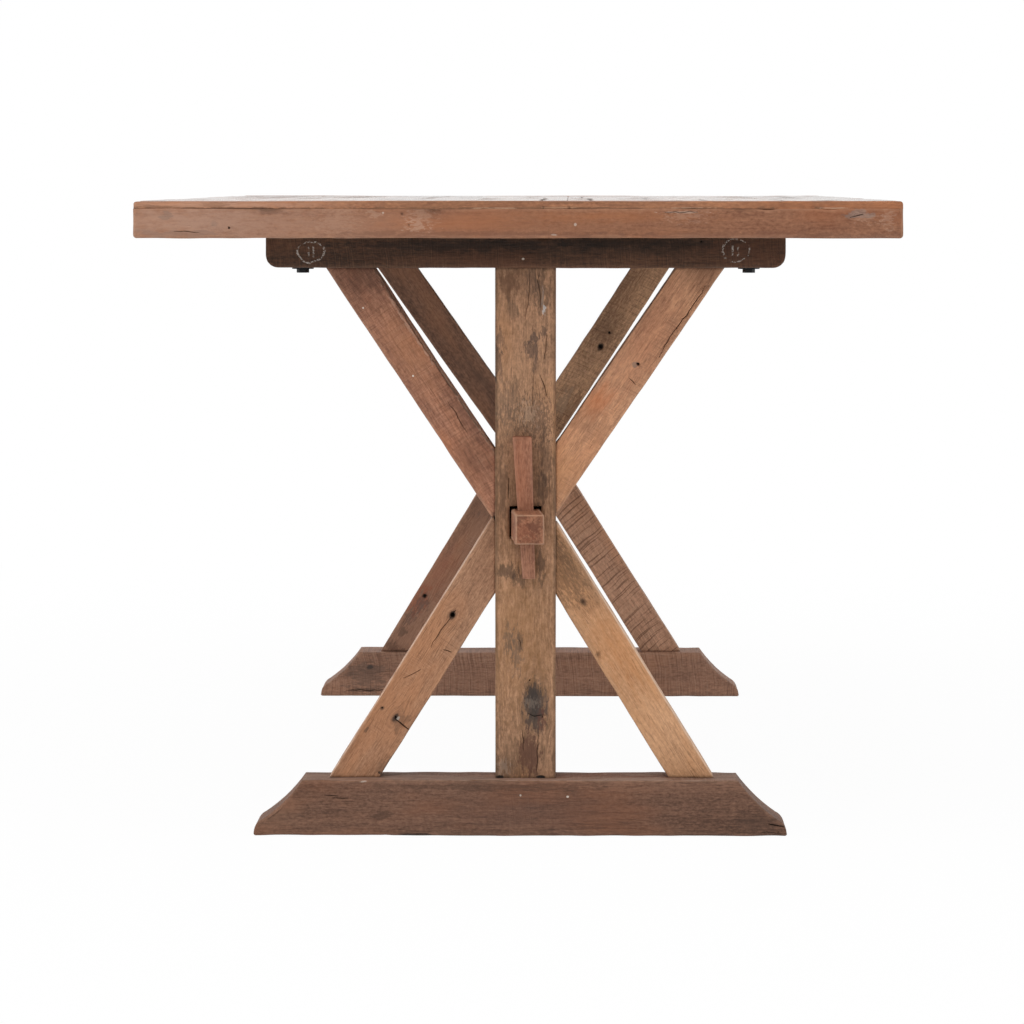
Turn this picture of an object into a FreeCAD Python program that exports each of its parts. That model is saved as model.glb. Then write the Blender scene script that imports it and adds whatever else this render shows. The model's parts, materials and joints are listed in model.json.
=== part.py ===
"""Sawbuck dining table: two braced trestles, a keyed stretcher and a planked top.

Row frame: +X across the table, +Y along its length, +Z up, with the origin on the
floor under the middle of the top. The near trestle stands at -Y, the far one at +Y.
All sizes are in millimetres.
"""
import FreeCAD, Part
import math
import os
import re

import Sketcher

doc = FreeCAD.newDocument("sawbuck_table")

# ---------------------------------------------------------------- driving dimensions

SIZES = [
    ("table_height", 762, "floor to the top face of the deck"),
    ("top_length", 1829, "deck and frame, along Y"),
    ("top_width", 896, "deck and frame, along X"),
    ("deck_thick", 9, "planks and end boards"),
    ("end_board_width", 90, "cross board at each end of the deck"),
    ("plank_gap", 0.6, "open seam between deck boards"),
    ("seam_shift_1", 6, "how far seam 1 lies right of an even division"),
    ("seam_shift_2", -5, "the same for seam 2"),
    ("seam_shift_3", 8, "the same for seam 3"),
    ("seam_shift_4", -6, "the same for seam 4"),
    ("seam_shift_5", 4, "the same for seam 5"),
    ("seam_shift_6", -7, "the same for seam 6"),
    ("frame_thick", 34, "height of the frame under the deck"),
    ("rail_width", 90, "side and end rails, seen from above"),
    ("batten_width", 110, "cross battens, seen from above"),
    ("tongue_width", 60, "tongues of side rails and battens, across the board"),
    ("tongue_thick", 12, "the same tongues, in height"),
    ("tongue_length", 24, "the same tongues, along the board"),
    ("tongue_gap", 0.2, "round each tongue in its mortise"),
    ("tongue_end_gap", 1, "beyond the end of each tongue"),
    ("end_overhang", 128.5, "top beyond the outer face of each foot"),
    ("near_foot_length", 641.5, "tip to tip"),
    ("far_foot_length", 638.5, "the same for the far foot"),
    ("near_foot_shift", 1.5, "the near foot stands this far to +X of the middle"),
    ("far_foot_shift", 0, "the same for the far foot"),
    ("foot_thick", 78, "foot along Y"),
    ("foot_height", 67.4, "floor to the flat top of the foot"),
    ("ogee_run", 59, "length of the shaped end of the foot"),
    ("ogee_hollow_radius", 190, "hollow of the shaped end"),
    ("nose_run", 11, "length of the rounded nose at the tip"),
    ("nose_height", 20, "where the hollow meets the nose"),
    ("nose_radius", 19, "roundness of the nose"),
    ("toe_height", 4, "upright edge at the floor"),
    ("cleat_length", 620, "board that the top is bolted to"),
    ("cleat_thick", 78, "cleat along Y"),
    ("cleat_height", 37, "cleat along Z"),
    ("cleat_corner_radius", 15, "lower corners of the cleat"),
    ("near_trestle_shift", 7.8, "near post, braces and cleat stand this far to +X"),
    ("far_trestle_shift", -2, "the same for the far ones"),
    ("post_width", 72.8, "post along X"),
    ("post_thick", 50, "post along Y"),
    ("post_setback", 18.5, "outer face of the post behind the outer face of the foot"),
    ("post_tenon_width", 48, "stub tenons at both ends of the post"),
    ("post_tenon_thick", 18, "the same tenons along Y"),
    ("post_tenon_length", 28, "the same tenons along Z"),
    ("post_tenon_gap", 0.3, "round each of them in its mortise"),
    ("post_tenon_end_gap", 2, "beyond the end of each"),
    ("brace_thick", 38, "brace along Y"),
    ("brace_setback", 8, "outer face of the brace behind the outer face of the post"),
    ("near_left_step", 3.9, "how far the near left braces butt each other off the post"),
    ("near_right_step", 1, "blunt tip of the near right braces, off the post"),
    ("far_left_step", 1, "the same, far left"),
    ("far_right_step", 1, "the same, far right"),
    ("near_upper_left_meet", 381.7, "height of the tip of the near upper left brace"),
    ("near_upper_right_meet", 387.2, "the same, near upper right"),
    ("near_lower_left_meet", 381.7, "the same, near lower left"),
    ("near_lower_right_meet", 375.4, "the same, near lower right"),
    ("far_upper_left_meet", 382.4, "the same, far upper left"),
    ("far_upper_right_meet", 383.2, "the same, far upper right"),
    ("far_lower_left_meet", 377.2, "the same, far lower left"),
    ("far_lower_right_meet", 377, "the same, far lower right"),
    ("near_upper_left_reach", 239.3, "post's middle to the outer edge at the cleat"),
    ("near_upper_right_reach", 238.3, "the same, near right"),
    ("far_upper_left_reach", 249.4, "the same, far left"),
    ("far_upper_right_reach", 232.7, "the same, far right"),
    ("near_lower_left_reach", 236.8, "post's middle to the outer edge at the foot"),
    ("near_lower_right_reach", 226.8, "the same, near right"),
    ("far_lower_left_reach", 225.7, "the same, far left"),
    ("far_lower_right_reach", 232.5, "the same, far right"),
    ("near_upper_left_width", 48.5, "square across the near upper left brace"),
    ("near_upper_right_width", 48.5, "the same, near upper right"),
    ("near_lower_left_width", 51.5, "the same, near lower left"),
    ("near_lower_right_width", 46, "the same, near lower right"),
    ("far_upper_left_width", 49, "the same, far upper left"),
    ("far_upper_right_width", 49, "the same, far upper right"),
    ("far_lower_left_width", 49, "the same, far lower left"),
    ("far_lower_right_width", 50, "the same, far lower right"),
    ("dowel_diameter", 12, "hidden dowels at both ends of every brace"),
    ("dowel_depth", 18, "how far a dowel enters each piece"),
    ("dowel_clearance", 0.1, "round each dowel in its hole"),
    ("dowel_end_gap", 1, "beyond each end of a dowel"),
    ("stretcher_width", 45, "stretcher along X between its shoulders"),
    ("stretcher_height", 90, "the same, along Z"),
    ("shoulder_gap", 0.2, "between a shoulder of the stretcher and its post"),
    ("tenon_seat_height", 356.4, "underside of the through tenons above the floor"),
    ("tenon_width", 34.5, "through tenons along X"),
    ("tenon_height", 36, "through tenons along Z"),
    ("tenon_projection", 88, "tenon beyond the outer face of the post"),
    ("tenon_side_gap", 2, "each side of a through tenon in its mortise"),
    ("tenon_top_gap", 4, "above a through tenon in its mortise"),
    ("tenon_tip_chamfer", 2.5, "round the end of each through tenon"),
    ("near_tenon_skew", 5.5, "how far the tip of the near tenon leans to +X"),
    ("far_tenon_skew", -3, "the same for the far tenon"),
    ("key_above_tenon", 88, "tusk key above the tenon"),
    ("key_below_tenon", 46.4, "the same below it"),
    ("key_top_width", 23, "tusk key along X, at its top end"),
    ("key_foot_width", 15.2, "the same, at its lower end"),
    ("key_top_thick", 24, "tusk key along Y, at its top end"),
    ("key_foot_thick", 16, "the same, at its lower end"),
    ("key_shift", 1, "key's middle to +X of the tenon's middle, at half its height"),
    ("near_key_lean", -8, "how far +X the near key's top is from its lower end"),
    ("far_key_lean", 5, "the same for the far key"),
    ("key_clearance", 0.4, "round a seated key"),
    ("slot_relief", 4, "key slot inside the outer face of the post"),
    ("bolt_diameter", 8, "shank of the bolts that hold the top down"),
    ("near_bolt_spacing", 535, "between the two bolts of the near cleat"),
    ("far_bolt_spacing", 560, "the same for the far cleat, clear of its wider braces"),
    ("bolt_grip", 20, "how far a bolt enters its insert"),
    ("bolt_head_radius", 7.5, "hexagon head, across the corners"),
    ("bolt_head_height", 4.6, "hexagon head, along Z"),
    ("bolt_hole_clearance", 0.5, "round a shank in the cleat"),
    ("washer_radius", 13, "outer radius of the washers"),
    ("washer_thick", 1.8, "washers along Z"),
    ("insert_diameter", 12, "threaded inserts in the battens"),
    ("insert_length", 22, "the same along Z"),
    ("insert_clearance", 0.1, "round an insert, and round the shank in it"),
    ("insert_end_gap", 3, "hole above an insert"),
]

sheet = doc.addObject("Spreadsheet::Sheet", "sizes")
for row, (alias, value, note) in enumerate(SIZES, start=1):
    sheet.set(f"A{row}", alias)
    sheet.set(f"B{row}", str(value))
    sheet.set(f"C{row}", note)
    sheet.setAlias(f"B{row}", alias)
doc.recompute()

ALIAS_WORD = re.compile(r"\b(" + "|".join(alias for alias, _, _ in SIZES) + r")\b")


def formula(text):
    """Turn words of the sheet into references to its cells."""
    return ALIAS_WORD.sub(r"sizes.\1", str(text))


def bind(target, **formulas):
    """Bind properties of an object to formulas; x, y and z are its place."""
    for name, text in formulas.items():
        path = f"Placement.Base.{name}" if name in "xyz" else name
        target.setExpression(path, formula(text))
    return target


# ---------------------------------------------------------------- heights and planes

DECK_BOTTOM = "(table_height - deck_thick)"
FRAME_BOTTOM = "(table_height - deck_thick - frame_thick)"
CLEAT_BOTTOM = f"({FRAME_BOTTOM} - cleat_height)"
TENON_MIDDLE = "(tenon_seat_height + tenon_height / 2)"
KEY_FOOT = "(tenon_seat_height - key_below_tenon)"
KEY_TOP = "(tenon_seat_height + tenon_height + key_above_tenon)"
TRESTLE_MIDDLE = "((top_length - foot_thick) / 2 - end_overhang)"
POST_OUTER = f"({TRESTLE_MIDDLE} + foot_thick / 2 - post_setback)"
POST_INNER = f"({POST_OUTER} - post_thick)"
STRETCHER_MIDDLE = "((near_trestle_shift + far_trestle_shift) / 2)"
STRETCHER_SLOPE = f"((near_trestle_shift - far_trestle_shift) / (2 * {TRESTLE_MIDDLE}))"

ENDS = {"near": -1, "far": 1}
HANDS = {"left": -1, "right": 1}
BATTENS = {"near": f"-{TRESTLE_MIDDLE}", "middle": "0", "far": TRESTLE_MIDDLE}
PLANKS = 7


# ---------------------------------------------------------------- drawing and cutting

def new_body(label, x="0", y="0", z="0"):
    """Start a sub-part whose own origin stands at x, y, z."""
    body = doc.addObject("PartDesign::Body", label)
    body.Label = label
    return bind(body, x=x, y=y, z=z)


def plane_sketch(body, name, role, offset):
    """Attach a sketch to one of the body's own planes, offset along its normal."""
    sketch = body.newObject("Sketcher::SketchObject", f"{body.Name}_{name}")
    planes = [feature for feature in body.Origin.OriginFeatures if feature.Role == role]
    sketch.AttachmentSupport = [(planes[0], "")]
    sketch.MapMode = "FlatFace"
    sketch.setExpression("AttachmentOffset.Base.z", formula(offset))
    return sketch


def pin_point(sketch, edge, end, x, y):
    """Tie one end of an edge to formulas for its two coordinates."""
    for kind, text in (("DistanceX", x), ("DistanceY", y)):
        value = float(sketch.evalExpression(formula(text)))
        index = sketch.addConstraint(Sketcher.Constraint(kind, -1, 1, edge, end, value))
        sketch.setExpression(f"Constraints[{index}]", formula(text))


def arc_through(start, finish, radius):
    """Arc from start to finish; a positive radius swells to the right of the way."""
    chord = finish - start
    half = chord.Length / 2
    rise = abs(radius) - math.sqrt(radius * radius - half * half)
    side = FreeCAD.Vector(chord.y, -chord.x, 0).normalize()
    middle = (start + finish) * 0.5 + side * math.copysign(rise, radius)
    return Part.Arc(start, middle, finish)


def draw_outline(sketch, corners):
    """Draw a closed outline, anticlockwise.

    Each corner is (x, y), or (x, y, sign, radius) where an arc follows it: sign 1
    swells outwards, -1 is hollow.
    """
    points = []
    for corner in corners:
        x, y = (float(sketch.evalExpression(formula(text))) for text in corner[:2])
        points.append(FreeCAD.Vector(x, y, 0))
    heads = []
    for edge, corner in enumerate(corners):
        start = points[edge]
        finish = points[(edge + 1) % len(points)]
        if len(corner) == 2:
            sketch.addGeometry(Part.LineSegment(start, finish), False)
            heads.append(1)
            continue
        sign, text = corner[2:]
        radius = float(sketch.evalExpression(formula(text)))
        sketch.addGeometry(arc_through(start, finish, sign * radius), False)
        begins_here = sketch.getPoint(edge, 1).distanceToPoint(start) < 0.001
        heads.append(1 if begins_here else 2)
        index = sketch.addConstraint(Sketcher.Constraint("Radius", edge, radius))
        sketch.setExpression(f"Constraints[{index}]", formula(text))
    for edge, corner in enumerate(corners):
        following = (edge + 1) % len(corners)
        tail = 3 - heads[edge]
        join = Sketcher.Constraint("Coincident", edge, tail, following, heads[following])
        sketch.addConstraint(join)
        pin_point(sketch, edge, heads[edge], corner[0], corner[1])


def draw_holes(sketch, centres, radius):
    """Draw equal circles about centres given as pairs of formulas."""
    size = float(sketch.evalExpression(formula(radius)))
    for edge, (x, y) in enumerate(centres):
        middle = [float(sketch.evalExpression(formula(text))) for text in (x, y)]
        circle = Part.Circle(FreeCAD.Vector(*middle, 0), FreeCAD.Vector(0, 0, 1), size)
        sketch.addGeometry(circle, False)
        index = sketch.addConstraint(Sketcher.Constraint("Radius", edge, size))
        sketch.setExpression(f"Constraints[{index}]", formula(radius))
        pin_point(sketch, edge, 3, x, y)


def rectangle(x, y, width, height):
    """Corners of a rectangle about the point x, y."""
    left, right = f"{x} - ({width}) / 2", f"{x} + ({width}) / 2"
    low, high = f"{y} - ({height}) / 2", f"{y} + ({height}) / 2"
    return [(left, low), (right, low), (right, high), (left, high)]


def thicken(body, kind, name, sketch, thickness):
    """Pad or Pocket a sketch by equal amounts on both sides of its plane."""
    feature = body.newObject(f"PartDesign::{kind}", f"{body.Name}_{name}_{kind.lower()}")
    feature.Profile = sketch
    feature.SideType = "Symmetric"
    feature.setExpression("Length", formula(thickness))
    return feature


def add_block(body, name, role, offset, corners, thickness):
    """Add an outline's prism, centred on its plane."""
    sketch = plane_sketch(body, name, role, offset)
    draw_outline(sketch, corners)
    return thicken(body, "Pad", name, sketch, thickness)


def cut_block(body, name, role, offset, corners, thickness):
    """Cut an outline's prism, centred on its plane."""
    sketch = plane_sketch(body, name, role, offset)
    draw_outline(sketch, corners)
    return thicken(body, "Pocket", name, sketch, thickness)


def drill(body, name, role, offset, centres, radius, depth):
    """Drill equal holes to a depth on both sides of a plane, as a rule a face."""
    sketch = plane_sketch(body, name, role, offset)
    draw_holes(sketch, centres, radius)
    return thicken(body, "Pocket", name, sketch, f"2 * ({depth})")


def box(label, length, width, height, x, y, z):
    """A plain board: length along X, width along Y, height along Z."""
    board = doc.addObject("Part::Box", label)
    board.Label = label
    return bind(board, Length=length, Width=width, Height=height, x=x, y=y, z=z)


def rod(name, radius, height, x, y, z, along_x=False):
    """A cylinder that starts at x, y, z and runs along Z, or along X."""
    cylinder = doc.addObject("Part::Cylinder", name)
    if along_x:
        cylinder.Placement.Rotation = FreeCAD.Rotation(FreeCAD.Vector(0, 1, 0), 90)
    return bind(cylinder, Radius=radius, Height=height, x=x, y=y, z=z)


def tube(name, outer, inner, height, x, y, z):
    """A ring or sleeve about an upright axis."""
    ring = doc.addObject("Part::Cut", name)
    ring.Base = rod(f"{name}_outside", outer, height, x, y, z)
    ring.Tool = rod(f"{name}_bore", inner, height, x, y, z)
    return ring


def group(label, pieces):
    """Several separate solids that share one sub-part."""
    compound = doc.addObject("Part::Compound", label)
    compound.Label = label
    compound.Links = pieces
    return compound


# ---------------------------------------------------------------- the planked top

def deck():
    """End boards right across, and seven planks of uneven width between them."""
    boards = []
    for end, sign in ENDS.items():
        edge = "-top_length / 2" if sign < 0 else "top_length / 2 - end_board_width"
        boards.append(box(f"{end}_end_board", "top_width", "end_board_width",
                          "deck_thick", "-top_width / 2", edge, DECK_BOTTOM))
    plank_length = "top_length - 2 * (end_board_width + plank_gap)"
    plank_start = "-top_length / 2 + end_board_width + plank_gap"
    lefts = ["-top_width / 2"]
    rights = []
    for seam in range(1, PLANKS):
        middle = f"(top_width * ({seam} / {PLANKS} - 1 / 2) + seam_shift_{seam})"
        rights.append(f"{middle} - plank_gap / 2")
        lefts.append(f"{middle} + plank_gap / 2")
    rights.append("top_width / 2")
    for number, (left, right) in enumerate(zip(lefts, rights), start=1):
        boards.append(box(f"deck_plank_{number}", f"({right}) - ({left})", plank_length,
                          "deck_thick", left, plank_start, DECK_BOTTOM))
    return boards


def end_rail(end):
    """Frame rail across one end, mortised for the tongues of the side rails."""
    sign = ENDS[end]
    rail = new_body(f"{end}_end_rail", y=f"{sign} * (top_length - rail_width) / 2",
                    z=f"{FRAME_BOTTOM} + frame_thick / 2")
    outline = rectangle("0", "0", "top_width", "rail_width")
    add_block(rail, "board", "XY_Plane", "0", outline, "frame_thick")
    for hand, side in HANDS.items():
        mortise = rectangle(f"{side} * (top_width - rail_width) / 2", "0",
                            "tongue_width + 2 * tongue_gap",
                            "tongue_thick + 2 * tongue_gap")
        cut_block(rail, f"{hand}_mortise", "XZ_Plane", f"{sign} * rail_width / 2",
                  mortise, "2 * (tongue_length + tongue_end_gap)")
    return rail


def side_rail(hand):
    """Frame rail along one side, with a tongue at each end and batten mortises."""
    side = HANDS[hand]
    rail = new_body(f"{hand}_side_rail", x=f"{side} * (top_width - rail_width) / 2",
                    z=f"{FRAME_BOTTOM} + frame_thick / 2")
    outline = rectangle("0", "0", "rail_width", "top_length - 2 * rail_width")
    add_block(rail, "board", "XY_Plane", "0", outline, "frame_thick")
    tongues = rectangle("0", "0", "tongue_width",
                        "top_length - 2 * rail_width + 2 * tongue_length")
    add_block(rail, "tongues", "XY_Plane", "0", tongues, "tongue_thick")
    for place, y in BATTENS.items():
        mortise = rectangle(y, "0", "tongue_width + 2 * tongue_gap",
                            "tongue_thick + 2 * tongue_gap")
        cut_block(rail, f"{place}_mortise", "YZ_Plane", f"-{side} * rail_width / 2",
                  mortise, "2 * (tongue_length + tongue_end_gap)")
    return rail


def cross_batten(place, y):
    """Batten between the side rails; those over a trestle take threaded inserts."""
    batten = new_body(f"{place}_batten", y=y, z=f"{FRAME_BOTTOM} + frame_thick / 2")
    outline = rectangle("0", "0", "top_width - 2 * rail_width", "batten_width")
    add_block(batten, "board", "XY_Plane", "0", outline, "frame_thick")
    tongues = rectangle("0", "0", "top_width - 2 * rail_width + 2 * tongue_length",
                        "tongue_width")
    add_block(batten, "tongues", "XY_Plane", "0", tongues, "tongue_thick")
    if place in ENDS:
        drill(batten, "inserts", "XY_Plane", "-frame_thick / 2", bolt_centres(place),
              "insert_diameter / 2 + insert_clearance", "insert_length + insert_end_gap")
    return batten


# ---------------------------------------------------------------- the trestles

def bolt_centres(end):
    """Where the two bolts of a cleat stand, from the middle of the trestle."""
    return [(f"{end}_trestle_shift + {side} * {end}_bolt_spacing / 2", "0")
            for side in HANDS.values()]


def post_plane(sign):
    """Y of the middle of a post, from the middle of its trestle."""
    return f"({sign} * (foot_thick / 2 - post_setback - post_thick / 2))"


def brace_plane(sign):
    """Y of the middle of the braces, from the middle of their trestle."""
    return f"({sign} * (foot_thick / 2 - post_setback - brace_setback - brace_thick / 2))"


class Brace:
    """Where one brace of a trestle starts and ends, as formulas."""

    def __init__(self, end, level, hand):
        self.name = f"{end}_brace_{level}_{hand}"
        self.end = end
        self.sign = ENDS[end]
        self.side = HANDS[hand]
        self.up = 1 if level == "upper" else -1
        self.seat = CLEAT_BOTTOM if level == "upper" else "foot_height"
        self.step = f"{end}_{hand}_step"
        self.meet = f"{end}_{level}_{hand}_meet"
        self.reach = f"{end}_{level}_{hand}_reach"
        width = f"{end}_{level}_{hand}_width"
        rise = f"({self.up} * ({self.seat} - {self.meet}))"
        run = f"({self.reach} - post_width / 2 - {self.step})"
        lean = f"atan({run} / {rise})"
        self.seat_run = f"({width} / cos({lean}))"
        self.post_run = f"({width} / sin({lean}) - {self.step} / tan({lean}))"

    def at(self, distance):
        """X of a point that far from the post's middle, on this brace's side."""
        return f"({self.end}_trestle_shift + {self.side} * ({distance}))"

    def corners(self):
        """The corners: post, blunt tip, outer seat, inner seat, post."""
        post_side = self.at("post_width / 2")
        corners = [
            (post_side, self.meet),
            (self.at(f"post_width / 2 + {self.step}"), self.meet),
            (self.at(self.reach), self.seat),
            (self.at(f"{self.reach} - {self.seat_run}"), self.seat),
            (post_side, f"{self.meet} + {self.up} * {self.post_run}"),
        ]
        return corners if self.side * self.up > 0 else corners[::-1]

    def seat_dowel(self):
        """X of the dowel into the cleat or the foot."""
        return self.at(f"{self.reach} - {self.seat_run} / 2")

    def post_dowel(self):
        """Z of the dowel into the post."""
        return f"({self.meet} + {self.up} * {self.post_run} / 2)"

    def build(self):
        """The brace itself, drilled at both ends."""
        plane = brace_plane(self.sign)
        brace = new_body(self.name, y=f"{self.sign} * {TRESTLE_MIDDLE}")
        add_block(brace, "side", "XZ_Plane", f"-{plane}", self.corners(), "brace_thick")
        drill(brace, "seat_hole", "XY_Plane", self.seat, [(self.seat_dowel(), plane)],
              DOWEL_HOLE, DOWEL_HOLE_DEPTH)
        drill(brace, "post_hole", "YZ_Plane", self.at("post_width / 2"),
              [(plane, self.post_dowel())], DOWEL_HOLE, DOWEL_HOLE_DEPTH)
        return brace

    def dowels(self):
        """The two dowels that hold this brace."""
        plane = f"{self.sign} * {TRESTLE_MIDDLE} + {brace_plane(self.sign)}"
        upright = rod(f"{self.name}_seat_dowel", "dowel_diameter / 2",
                      "2 * dowel_depth", self.seat_dowel(), plane,
                      f"{self.seat} - dowel_depth")
        level = rod(f"{self.name}_post_dowel", "dowel_diameter / 2",
                    "2 * dowel_depth", f"{self.at('post_width / 2')} - dowel_depth",
                    plane, self.post_dowel(), along_x=True)
        return [upright, level]


DOWEL_HOLE = "dowel_diameter / 2 + dowel_clearance"
DOWEL_HOLE_DEPTH = "dowel_depth + dowel_end_gap"


def cut_post_mortise(body, end, face):
    """Mortise for a stub tenon of the post, sunk from the given height."""
    mortise = rectangle(f"{end}_trestle_shift", post_plane(ENDS[end]),
                        "post_tenon_width + 2 * post_tenon_gap",
                        "post_tenon_thick + 2 * post_tenon_gap")
    cut_block(body, "mortise", "XY_Plane", face, mortise,
              "2 * (post_tenon_length + post_tenon_end_gap)")


def foot(end, braces):
    """Foot with ogee ends, mortised for the post and drilled for the braces."""
    sign = ENDS[end]
    body = new_body(f"{end}_foot", y=f"{sign} * {TRESTLE_MIDDLE}")
    left = f"({end}_foot_shift - {end}_foot_length / 2)"
    right = f"({end}_foot_shift + {end}_foot_length / 2)"
    outline = [
        (left, "0"),
        (right, "0"),
        (right, "toe_height", 1, "nose_radius"),
        (f"{right} - nose_run", "nose_height", -1, "ogee_hollow_radius"),
        (f"{right} - ogee_run", "foot_height"),
        (f"{left} + ogee_run", "foot_height", -1, "ogee_hollow_radius"),
        (f"{left} + nose_run", "nose_height", 1, "nose_radius"),
        (left, "toe_height"),
    ]
    add_block(body, "side", "XZ_Plane", "0", outline, "foot_thick")
    cut_post_mortise(body, end, "foot_height")
    holes = [(brace.seat_dowel(), brace_plane(sign)) for brace in braces]
    drill(body, "dowels", "XY_Plane", "foot_height", holes, DOWEL_HOLE, DOWEL_HOLE_DEPTH)
    return body


def cleat(end, braces):
    """Board under the top with rounded lower corners, bolted up into a batten."""
    sign = ENDS[end]
    body = new_body(f"{end}_cleat", y=f"{sign} * {TRESTLE_MIDDLE}")
    low = CLEAT_BOTTOM
    turn = f"{CLEAT_BOTTOM} + cleat_corner_radius"
    left = f"{end}_trestle_shift - cleat_length / 2"
    right = f"{end}_trestle_shift + cleat_length / 2"
    outline = [
        (f"{left} + cleat_corner_radius", low),
        (f"{right} - cleat_corner_radius", low, 1, "cleat_corner_radius"),
        (right, turn),
        (right, FRAME_BOTTOM),
        (left, FRAME_BOTTOM),
        (left, turn, 1, "cleat_corner_radius"),
    ]
    add_block(body, "side", "XZ_Plane", "0", outline, "cleat_thick")
    cut_post_mortise(body, end, CLEAT_BOTTOM)
    holes = [(brace.seat_dowel(), brace_plane(sign)) for brace in braces]
    drill(body, "dowels", "XY_Plane", CLEAT_BOTTOM, holes, DOWEL_HOLE, DOWEL_HOLE_DEPTH)
    drill(body, "bolts", "XY_Plane", f"{CLEAT_BOTTOM} + cleat_height / 2",
          bolt_centres(end), "bolt_diameter / 2 + bolt_hole_clearance", "cleat_height")
    return body


def post(end, braces):
    """Upright with a stub tenon at each end and the through mortise for the stretcher."""
    sign = ENDS[end]
    plane = post_plane(sign)
    shift = f"{end}_trestle_shift"
    body = new_body(f"{end}_post", y=f"{sign} * {TRESTLE_MIDDLE}")
    height = f"({CLEAT_BOTTOM} - foot_height)"
    middle = f"((foot_height + {CLEAT_BOTTOM}) / 2)"
    shaft = rectangle(shift, middle, "post_width", height)
    add_block(body, "shaft", "XZ_Plane", f"-{plane}", shaft, "post_thick")
    tenons = rectangle(shift, middle, "post_tenon_width",
                       f"{height} + 2 * post_tenon_length")
    add_block(body, "tenons", "XZ_Plane", f"-{plane}", tenons, "post_tenon_thick")
    mortise_height = "tenon_height + tenon_top_gap"
    mortise = rectangle(shift, f"(tenon_seat_height + ({mortise_height}) / 2)",
                        "tenon_width + 2 * tenon_side_gap", mortise_height)
    cut_block(body, "stretcher_mortise", "XZ_Plane", f"-{plane}", mortise,
              "2 * post_thick")
    for hand, side in HANDS.items():
        holes = [(brace_plane(sign), brace.post_dowel())
                 for brace in braces if brace.side == side]
        drill(body, f"{hand}_dowels", "YZ_Plane",
              f"{shift} + {side} * post_width / 2", holes, DOWEL_HOLE,
              DOWEL_HOLE_DEPTH)
    return body


def trestle(end):
    """Foot, post, cleat, four braces and their dowels."""
    upper = [Brace(end, "upper", hand) for hand in HANDS]
    lower = [Brace(end, "lower", hand) for hand in HANDS]
    braces = upper + lower
    pieces = [foot(end, lower), cleat(end, upper), post(end, braces)]
    pieces += [brace.build() for brace in braces]
    dowels = [dowel for brace in braces for dowel in brace.dowels()]
    pieces.append(group(f"{end}_brace_dowels", dowels))
    return pieces


# ---------------------------------------------------------------- stretcher and keys

def key_width(height):
    """Width of a key along X, at a height above the floor."""
    rise = f"({height} - {KEY_FOOT}) / ({KEY_TOP} - {KEY_FOOT})"
    return f"(key_foot_width + (key_top_width - key_foot_width) * {rise})"


def key_thick(height):
    """Thickness of a key along Y, at a height above the floor."""
    rise = f"({height} - {KEY_FOOT}) / ({KEY_TOP} - {KEY_FOOT})"
    return f"(key_foot_thick + (key_top_thick - key_foot_thick) * {rise})"


def key_middle(end, height):
    """X of the middle of a leaning key, at a height above the floor."""
    rise = f"({height} - {TENON_MIDDLE}) / ({KEY_TOP} - {KEY_FOOT})"
    tenon = f"({STRETCHER_MIDDLE} - {ENDS[end]} * {POST_OUTER} * {STRETCHER_SLOPE})"
    return f"({tenon} + key_shift + {end}_key_lean * {rise})"


def stretcher():
    """Stretcher with shoulders against both posts and a slotted tenon beyond each.

    It runs straight from one post's middle to the other's, so it is turned a little.
    """
    body = new_body("stretcher", x=STRETCHER_MIDDLE, z=TENON_MIDDLE)
    body.Placement.Rotation = FreeCAD.Rotation(FreeCAD.Vector(0, 0, 1), 0)
    body.setExpression("Placement.Rotation.Angle", formula(f"atan({STRETCHER_SLOPE})"))
    section = rectangle("0", "0", "stretcher_width", "stretcher_height")
    add_block(body, "beam", "XZ_Plane", "0", section,
              f"2 * ({POST_INNER} - shoulder_gap)")
    tip = f"({POST_OUTER} + tenon_projection)"
    left = "-tenon_width / 2"
    right = "tenon_width / 2"
    outline = [
        (f"{left} + near_tenon_skew", f"-{tip}"),
        (f"{right} + near_tenon_skew", f"-{tip}"),
        (right, f"-{POST_OUTER}"),
        (right, POST_OUTER),
        (f"{right} + far_tenon_skew", tip),
        (f"{left} + far_tenon_skew", tip),
        (left, POST_OUTER),
        (left, f"-{POST_OUTER}"),
    ]
    add_block(body, "tenons", "XY_Plane", "0", outline, "tenon_height")
    for end, sign in ENDS.items():
        cut_key_slot(body, end, sign)
    doc.recompute()
    chamfer_tips(body)
    return body


def cut_key_slot(body, end, sign):
    """Slot through a tenon for its key, with the outer wall sloped like the key."""
    inner = f"({POST_OUTER} - slot_relief)"
    corners = []
    for level in (-1, 1):
        height = f"({TENON_MIDDLE} + {level} * tenon_height)"
        outer = f"({POST_OUTER} + 2 * key_clearance + {key_thick(height)})"
        pair = [(f"{sign} * {inner}", f"{level} * tenon_height"),
                (f"{sign} * {outer}", f"{level} * tenon_height")]
        corners += pair if level < 0 else pair[::-1]
    if sign < 0:
        corners = corners[::-1]
    crown = "(tenon_seat_height + tenon_height)"
    swing = f"(abs({end}_key_lean) * tenon_height / ({KEY_TOP} - {KEY_FOOT}))"
    width = f"{key_width(crown)} + {swing} + 2 * key_clearance"
    cut_block(body, f"{end}_key_slot", "YZ_Plane", "key_shift", corners, width)


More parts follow.
